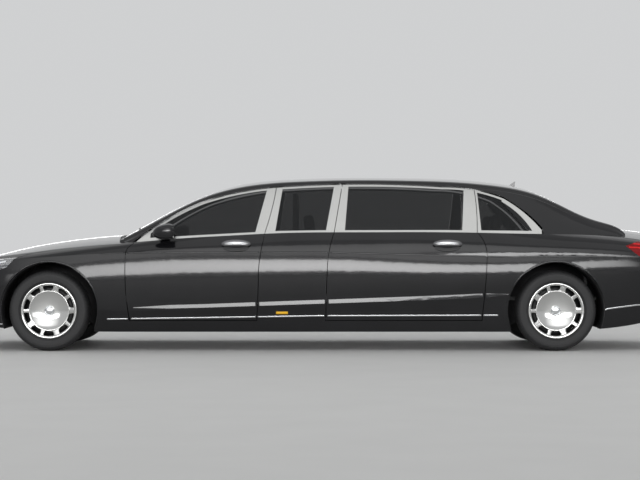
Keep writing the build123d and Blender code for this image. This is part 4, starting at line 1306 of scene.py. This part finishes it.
@dataclass
class Ends(Trim):
    """Trim of nose and tail: bumper strips, backing of grille and intake, lamps, pipes and boot trim."""

    bumper_strip: Profile = Profile.oval(0.007, 0.005)
    front_degrees: Row = (0, 30, 60, 88)
    front_z: Row = (0.268, 0.268, 0.238, 0.224)
    rear_span: tuple[float, float] = (47.0, 89.0)
    rear_degrees: Row = (40, 69, 85.2, 90)
    rear_z: Row = (0.430, 0.398, 0.367, 0.338)
    grille_backing: Block = Block((-3.183, 0.0, 0.592), (0.004, 0.345, 0.150), 9.0)
    intake_backing: Block = Block((-3.196, 0.0, 0.335), (0.005, 0.515, 0.049), 9.0)
    intake_bars: tuple[Block, ...] = (
        Block((-3.206, 0.0, 0.313), (0.006, 0.512, 0.004), 6.0, 20),
        Block((-3.206, 0.0, 0.357), (0.006, 0.512, 0.004), 6.0, 20),
    )
    cap_x: tuple[float, float] = (-3.226, -3.058)
    cap_beside: float = -0.402
    cap_heights: tuple[float, float] = (0.70, 1.0)
    cap_half: float = 0.372
    cap_wing_x: Row = (-3.19, -3.178, -3.14, -3.11, -3.07, -3.058)
    cap_wing: Row = (0, 0.05, 0.12, 0.12, 0.055, 0)
    cap_crown: float = 0.011
    cap_crown_half: float = 0.42
    cap_thick: float = 0.012
    headlamp_span: tuple[float, float] = (36.0, 80.0)
    headlamp_level: float = 0.70
    headlamp_x: Row = (-3.25, -3.0, -2.72)
    headlamp_z: Row = (0.676, 0.698, 0.762)
    light_bar: Profile = Profile.oval(0.0075, 0.002)
    light_bar_up: float = 0.022
    bowl_down: float = 0.014
    bowl_deep: float = 0.046
    bowl_half: Point = (0.036, 0.036, 0.032)
    bowl_places: tuple[int, int] = (60, 170)
    stripe: Profile = Profile.oval(0.006, 0.002)
    stripe_span: tuple[float, float] = (38.5, 82.0)
    stripe_level: float = 0.86
    stripe_x: Row = (2.69, 2.79, 3.12, 3.25)
    stripe_z: Row = (0.915, 0.912, 0.848, 0.790)
    stripe_ups: tuple[float, float] = (0.022, -0.010)
    boot_strip: Profile = Profile.oval(0.006, 0.004)
    boot_strip_x: float = 3.228
    boot_strip_half: float = 0.540
    pipe_x: Row = (3.205, 3.246, 3.248, 3.244, 3.205)
    pipe_grow: Row = (0.0045, 0.0045, 0.002, -0.003, -0.003)
    pipe_half: tuple[float, float] = (0.085, 0.029)
    pipe_y: float = 0.410
    pipe_z: float = 0.372
    seal_half: float = 0.552
    seal_bow: float = 0.016
    seal_x: Row = (2.596, 2.643, 2.643, 2.596)
    seal_z: Row = (1.042, 1.042, 1.098, 1.110)
    seal_fall: float = 0.0125
    seal_fall_half: float = 0.3

    def nose(self) -> None:
        """The front bumper's low strip, the dark backing of grille and intake, and the intake's bars."""
        edge = self.front_degrees[-1]
        angle = np.radians(np.linspace(-edge, edge, num=900))
        z = np.interp(np.abs(np.degrees(angle)), self.front_degrees, self.front_z)
        cast = self.round_end(Rays.NOSE, angle, z)
        self.lay("front_bumper_strip", cast, self.bumper_strip, self.palette.chrome, ("front_bumper",))
        self.add("grille_backing", self.grille_backing.form(), self.palette.plastic)
        self.add("intake_backing", self.intake_backing.form(), self.palette.plastic)
        self.nose_cap()
        for number, bar in enumerate(self.intake_bars):
            self.add(f"intake_bar_{number}", bar.form(), self.palette.gloss_plastic)

    def nose_cap(self) -> None:
        """The painted panel between the grille's top and the hood.

        z(x, y) = e(x) + c (1 - (y / h)^2), where e is the hood's height beside the panel, a parabola
        through the places found there, and c and h are the crown's height and half width.
        """
        x = np.linspace(*self.cap_x, num=32)
        met = self.skin.hit(*self.above(x, self.cap_beside))[:, 2]
        found = (met > self.cap_heights[0]) & (met < self.cap_heights[1])
        edge = np.polyval(np.polyfit(x[found], met[found], deg=2), x)
        half = self.cap_half + np.interp(x, self.cap_wing_x, self.cap_wing)
        y = half[:, None] * np.linspace(-1, 1, num=48)
        z = edge[:, None] + self.cap_crown * (1 - (y / self.cap_crown_half) ** 2)
        top = grid(x[:, None], y, z)
        under = top[:, ::-1] + self.cap_thick * DOWN
        self.add("nose_cap", Form.rod(np.concatenate([top, under], axis=1)), self.palette.paint)

    def lamp_line(self, rays: Rays, angles: Array, level: float, xs: Row, zs: Row) -> Array:
        """Heights of a bent line over x, at the places that level rays round an end meet."""
        return np.interp(self.skin.hit(*self.round_end(rays, angles, level))[:, 0], xs, zs)

    def headlamp_insides(self) -> None:
        """A light bar on each headlamp and two bright bowls behind its lens."""
        for side in Side:
            angle = np.radians(np.linspace(*self.headlamp_span, num=400)) * side.value
            middle = self.lamp_line(Rays.NOSE, angle, self.headlamp_level, self.headlamp_x, self.headlamp_z)
            cast = self.round_end(Rays.NOSE, angle, middle + self.light_bar_up)
            name = f"light_bar_{side.word}"
            self.lay(name, cast, self.light_bar, self.palette.clear, ("headlamps",), trim=10)
            start, way = self.round_end(Rays.NOSE, angle, middle - self.bowl_down)
            met = self.skin.hit(start, way) + self.bowl_deep * way
            for number, place in enumerate(self.bowl_places):
                bowl = Form.pillow(met[place], self.bowl_half, power=2.0, steps=28)
                self.add(f"lamp_bowl_{number}_{side.word}", bowl, self.palette.chrome)

    def lamp_stripes(self) -> None:
        """Bright stripes that follow the tail lamps round the corner."""
        for side in Side:
            angle = np.radians(np.linspace(*self.stripe_span, num=400)) * side.value
            path = self.lamp_line(Rays.TAIL, angle, self.stripe_level, self.stripe_x, self.stripe_z)
            for number, up in enumerate(self.stripe_ups):
                cast = self.round_end(Rays.TAIL, angle, path + up)
                name = f"tail_stripe_{number}_{side.word}"
                self.lay(name, cast, self.stripe, self.palette.led, ("taillamps",), trim=8)

    def tail(self) -> None:
        """The rear bumper's bright strips, the strip across the boot lid, the pipes' ends and the seal."""
        degrees = np.linspace(*self.rear_span, num=400)
        z = np.interp(degrees, self.rear_degrees, self.rear_z)
        for side in Side:
            cast = self.round_end(Rays.TAIL, side.value * np.radians(degrees), z)
            name = f"rear_bumper_strip_{side.word}"
            self.lay(name, cast, self.bumper_strip, self.palette.chrome, ("rear_bumper",))
        cast = self.above(self.boot_strip_x, np.linspace(-self.boot_strip_half, self.boot_strip_half, num=240))
        self.lay("boot_strip", cast, self.boot_strip, self.palette.chrome, ("boot_lid",))
        self.pipe_ends()
        self.boot_seal()

    def pipe_ends(self) -> None:
        """Bright rings round the two tail pipes, P = middle + (x, w c(t), h s(t)) with a squared c and s."""
        turn = all_round(64)[:, None]
        wide, tall = (half + np.array(self.pipe_grow) for half in self.pipe_half)
        y, z = wide * signed_power(np.cos(turn), 0.5), tall * signed_power(np.sin(turn), 0.5)
        for side in Side:
            ring = grid(np.array(self.pipe_x), y + side.value * self.pipe_y, z + self.pipe_z)
            self.add(f"pipe_end_{side.word}", Form.loop(ring), self.palette.chrome)

    def boot_seal(self) -> None:
        """The dark seal between the rear window and the boot lid, bowed as the lid's edge is.

        x = x_j + b (y / l)^2 and z = z_j - f (y / g)^2, over the corners j of its section.
        """
        y = np.linspace(-self.seal_half, self.seal_half, num=60)[:, None]
        x = np.array(self.seal_x) + self.seal_bow * (y / self.seal_half) ** 2
        z = np.array(self.seal_z) - self.seal_fall * (y / self.seal_fall_half) ** 2
        self.add("boot_seal", Form.rod(grid(x, y, z)), self.palette.plastic)

    def build(self) -> None:
        """Lays the trim of both ends."""
        self.nose()
        self.headlamp_insides()
        self.tail()
        self.lamp_stripes()


@dataclass
class Glasshouse(Trim):
    """Wipers, mirrors and the pane in the partition."""

    high: float = 2.5
    wiper: Profile = Profile.oval(0.007, 0.011)
    wiper_y: tuple[tuple[float, float], ...] = ((-0.62, 0.02), (0.08, 0.66))
    wiper_x: tuple[tuple[float, float], ...] = ((-1.585, -1.652), (-1.652, -1.585))
    pane: Block = Block((-0.209, 0.0, 1.155), (0.003, 0.484, 0.149), 12.0)
    mirror_half: float = 0.082
    mirror_short: float = 0.002
    mirror_out: float = 0.004
    mirror_flat: float = 0.74
    mirror_shrink: tuple[float, float] = (0.30, 0.38)
    mirror_sink: tuple[float, float] = (0.012, 0.016)
    foot_half: Point = (0.045, 0.078, 0.020)
    foot_x: float = 0.005
    foot_y: float = 0.878
    foot_down: float = 0.045
    glass_back: float = 0.004
    glass_half: tuple[float, float] = (0.0035, 0.062)
    glass_share: float = 0.74

    def build(self) -> None:
        """Lays the wipers, makes the mirrors and sets the pane."""
        for number, (x, y) in enumerate(zip(self.wiper_x, self.wiper_y)):
            share = np.linspace(0.0, 1.0, num=150)
            cast = self.above(x[0] + (x[1] - x[0]) * share, y[0] + (y[1] - y[0]) * share)
            self.lay(f"wiper_{number}", cast, self.wiper, self.palette.plastic, ("windscreen", "cowl"))
        for side in Side:
            self.mirror(side)
        self.add("partition_pane", self.pane.form(), self.palette.glass)

    def mirror(self, side: Side) -> None:
        """A drop-shaped mirror housing with its foot and glass.

        The housing is a pillow with a flat back, whose width and height shrink forwards as 1 - c f^2,
        where f runs from 0 at the glass to 1 at the front, and whose front sinks inwards and down as f^2.

        Args:
            side: the side of the car.
        """
        node = f"door_mirror_{side.word}"
        body = frame["nodes"][node]["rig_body"]
        low, high, middle = box_of(node)
        half = (high - low) / 2 - np.array([self.mirror_short, 0.0, 0.0])
        half[1] = self.mirror_half
        edge = max(abs(low[1]), abs(high[1]))
        middle[1] = side.value * (edge + self.mirror_out - half[1])
        shell = Form.pillow((0, 0, 0), half, power=2.7, steps=44)
        share = shell.points[:, 0] / half[0]
        back = np.minimum(share, self.mirror_flat) / self.mirror_flat
        shell.points[:, 0] = half[0] * np.where(share > 0, back, share)
        front = ((half[0] - shell.points[:, 0]) / (2 * half[0])) ** 2
        shell.points *= grid(1.0, *(1 - shrink * front for shrink in self.mirror_shrink))
        inwards, down = self.mirror_sink
        shell.points += middle + grid(0.0, -side.value * inwards * front, -down * front)
        self.add(f"mirror_housing_{side.word}", shell, self.palette.paint, body, [node])
        place = (middle[0] + self.foot_x, side.value * self.foot_y, middle[2] - self.foot_down)
        foot = Form.pillow(place, self.foot_half, power=3.0, steps=24)
        self.add(f"mirror_foot_{side.word}", foot, self.palette.gloss_plastic, body)
        place = (high[0] - self.glass_back, middle[1], middle[2])
        glass = Form.pillow(place, (*self.glass_half, self.glass_share * half[2]), power=2.9, steps=24)
        self.add(f"mirror_glass_{side.word}", glass, self.palette.chrome, body)


@dataclass
class DoorCard(Trim):
    """The lining, armrest and pull of one door."""

    side: Side = Side.LEFT
    axle: Axle = Axle.FRONT
    reach: tuple[float, float] = (-1.45, -0.62)
    inside: float = 0.765
    card_z: float = 0.635
    card_half: float = 0.29
    card_thick: float = 0.012
    rest_half: Point = (0.27, 0.030, 0.034)
    rest_in: float = 0.012
    rest_z: float = 0.665
    pull_half: Point = (0.065, 0.012, 0.011)
    pull_x: float = 0.16
    pull_in: float = 0.004
    pull_z: float = 0.800

    def build(self) -> None:
        """Lays the lining on the door's inner face and sets the armrest and pull on it."""
        out = float(self.side.value)
        word, body = f"{self.axle.value}_{self.side.word}", f"{self.axle.value}_{self.side.word}_door"
        start = grid(np.linspace(*self.reach, num=40), out * self.inside, self.card_z)
        way = np.broadcast_to(np.array([0.0, out, 0.0]), start.shape)
        across = np.broadcast_to(-DOWN, start.shape)
        card = self.skin.laid(start, way, across, Profile.plate(self.card_half, self.card_thick, steps=25))
        self.add(f"{word}_door_card", card, self.palette.leather, body)
        face = float(np.abs(self.skin.hit(start, way)[len(start) // 2, 1])) - self.card_thick
        place = (float(np.mean(self.reach)), out * (face - self.rest_in), self.rest_z)
        rest = Form.pillow(place, self.rest_half, power=3.2, steps=30)
        self.add(f"{word}_armrest", rest, self.palette.leather, body)
        place = (self.reach[0] + self.pull_x, out * (face - self.pull_in), self.pull_z)
        pull = Form.pillow(place, self.pull_half, power=2.6, steps=20)
        self.add(f"{word}_door_pull", pull, self.palette.chrome, body)


@dataclass(frozen=True)
class Pad:
    """One pad of a seat: its middle behind the seat's front edge and over the road, half sizes, lean, seams.

    Its half width is a share of the seat's, unless a width is given.
    """

    part: str
    x: float
    z: float
    length: float
    height: float
    lean: float
    ribs: bool
    share: float = 1.0
    width: float | None = None


@dataclass
class SeatRow(Assembly):
    """Two padded leather seats: base, cushion, back and headrest, with sewn channels."""

    node: str
    facing: int
    channels: int = 6
    pinch: float = 0.16
    aisle: float = 0.16
    seam: float = 0.008
    fill: float = 0.75
    pads: tuple[Pad, ...] = (
        Pad("base", 0.29, 0.315, 0.26, 0.075, 0.0, False, 0.92),
        Pad("cushion", 0.265, 0.435, 0.262, 0.075, 0.07, True),
        Pad("back", 0.575, 0.745, 0.345, 0.08, 1.33, True),
        Pad("headrest", 0.645, 1.105, 0.085, 0.048, 1.40, False, width=0.135),
    )

    def padding(self, pad: Pad, front: float, y: float, half_width: float) -> Form:
        """A crowned pad whose broad face has sewn channels.

        A rounded block whose local height is pinched by a cosine of its width at each seam, then
        leant about Y.

        Args:
            pad: its sizes.
            front: x of the seat's front edge.
            y: the seat's middle.
            half_width: half of the seat's width.

        Returns:
            The closed pad.
        """
        half = (pad.length, pad.width or half_width * pad.share, pad.height)
        form = Form.pillow((0, 0, 0), half, power=3.6, steps=36)
        if pad.ribs:
            wave = np.abs(np.cos(form.points[:, 1] / half[1] * np.pi * self.channels / 2))
            form.points[:, 2] *= 1.0 - self.pinch * (1 - wave) ** 3
        sine, cosine = math.sin(-self.facing * pad.lean), math.cos(pad.lean)
        turn = np.array([[cosine, 0, sine], [0, 1, 0], [-sine, 0, cosine]])
        form.points = form.points @ turn.T + np.array([front + self.facing * pad.x, y, pad.z])
        return form

    def build(self) -> None:
        """Makes the pads of both seats in place of the CAD node."""
        low, high, _ = box_of(self.node)
        front = low[0] if self.facing > 0 else high[0]
        half = (high[1] - low[1] - self.aisle) / 4
        stands_for = [self.node]
        for side in Side:
            y = low[1] + half if side is Side.LEFT else high[1] - half
            for pad in self.pads:
                form = self.padding(pad, front, y, half - self.seam)
                name = f"{self.node}_{side.word}_{pad.part}"
                made = self.add(name, form, self.palette.leather, "body", stands_for)
                stands_for = []


def main() -> None:
    """Builds the looks in order."""
    logging.basicConfig(level=logging.INFO)
    palette = Palette()
    dress_frame(palette)
    skin = Skin()
    Studio().build()
    for side in Side:
        for axle in Axle:
            Wheel(palette, skin, axle, side).build()
            WheelHouse(palette, skin, axle, side).build()
        SideTrim(palette, skin, side=side).build()
        DoorCard(palette, skin, side=side, axle=Axle.FRONT).build()
        DoorCard(palette, skin, side=side, axle=Axle.REAR, reach=(0.30, 1.28)).build()
    Ends(palette, skin).build()
    Glasshouse(palette, skin).build()
    for node, facing in (("front_seats", 1), ("rear_facing_seats", -1), ("rear_seats", 1)):
        SeatRow(palette, skin, node, facing).build()


if __name__ == "__main__":
    main()
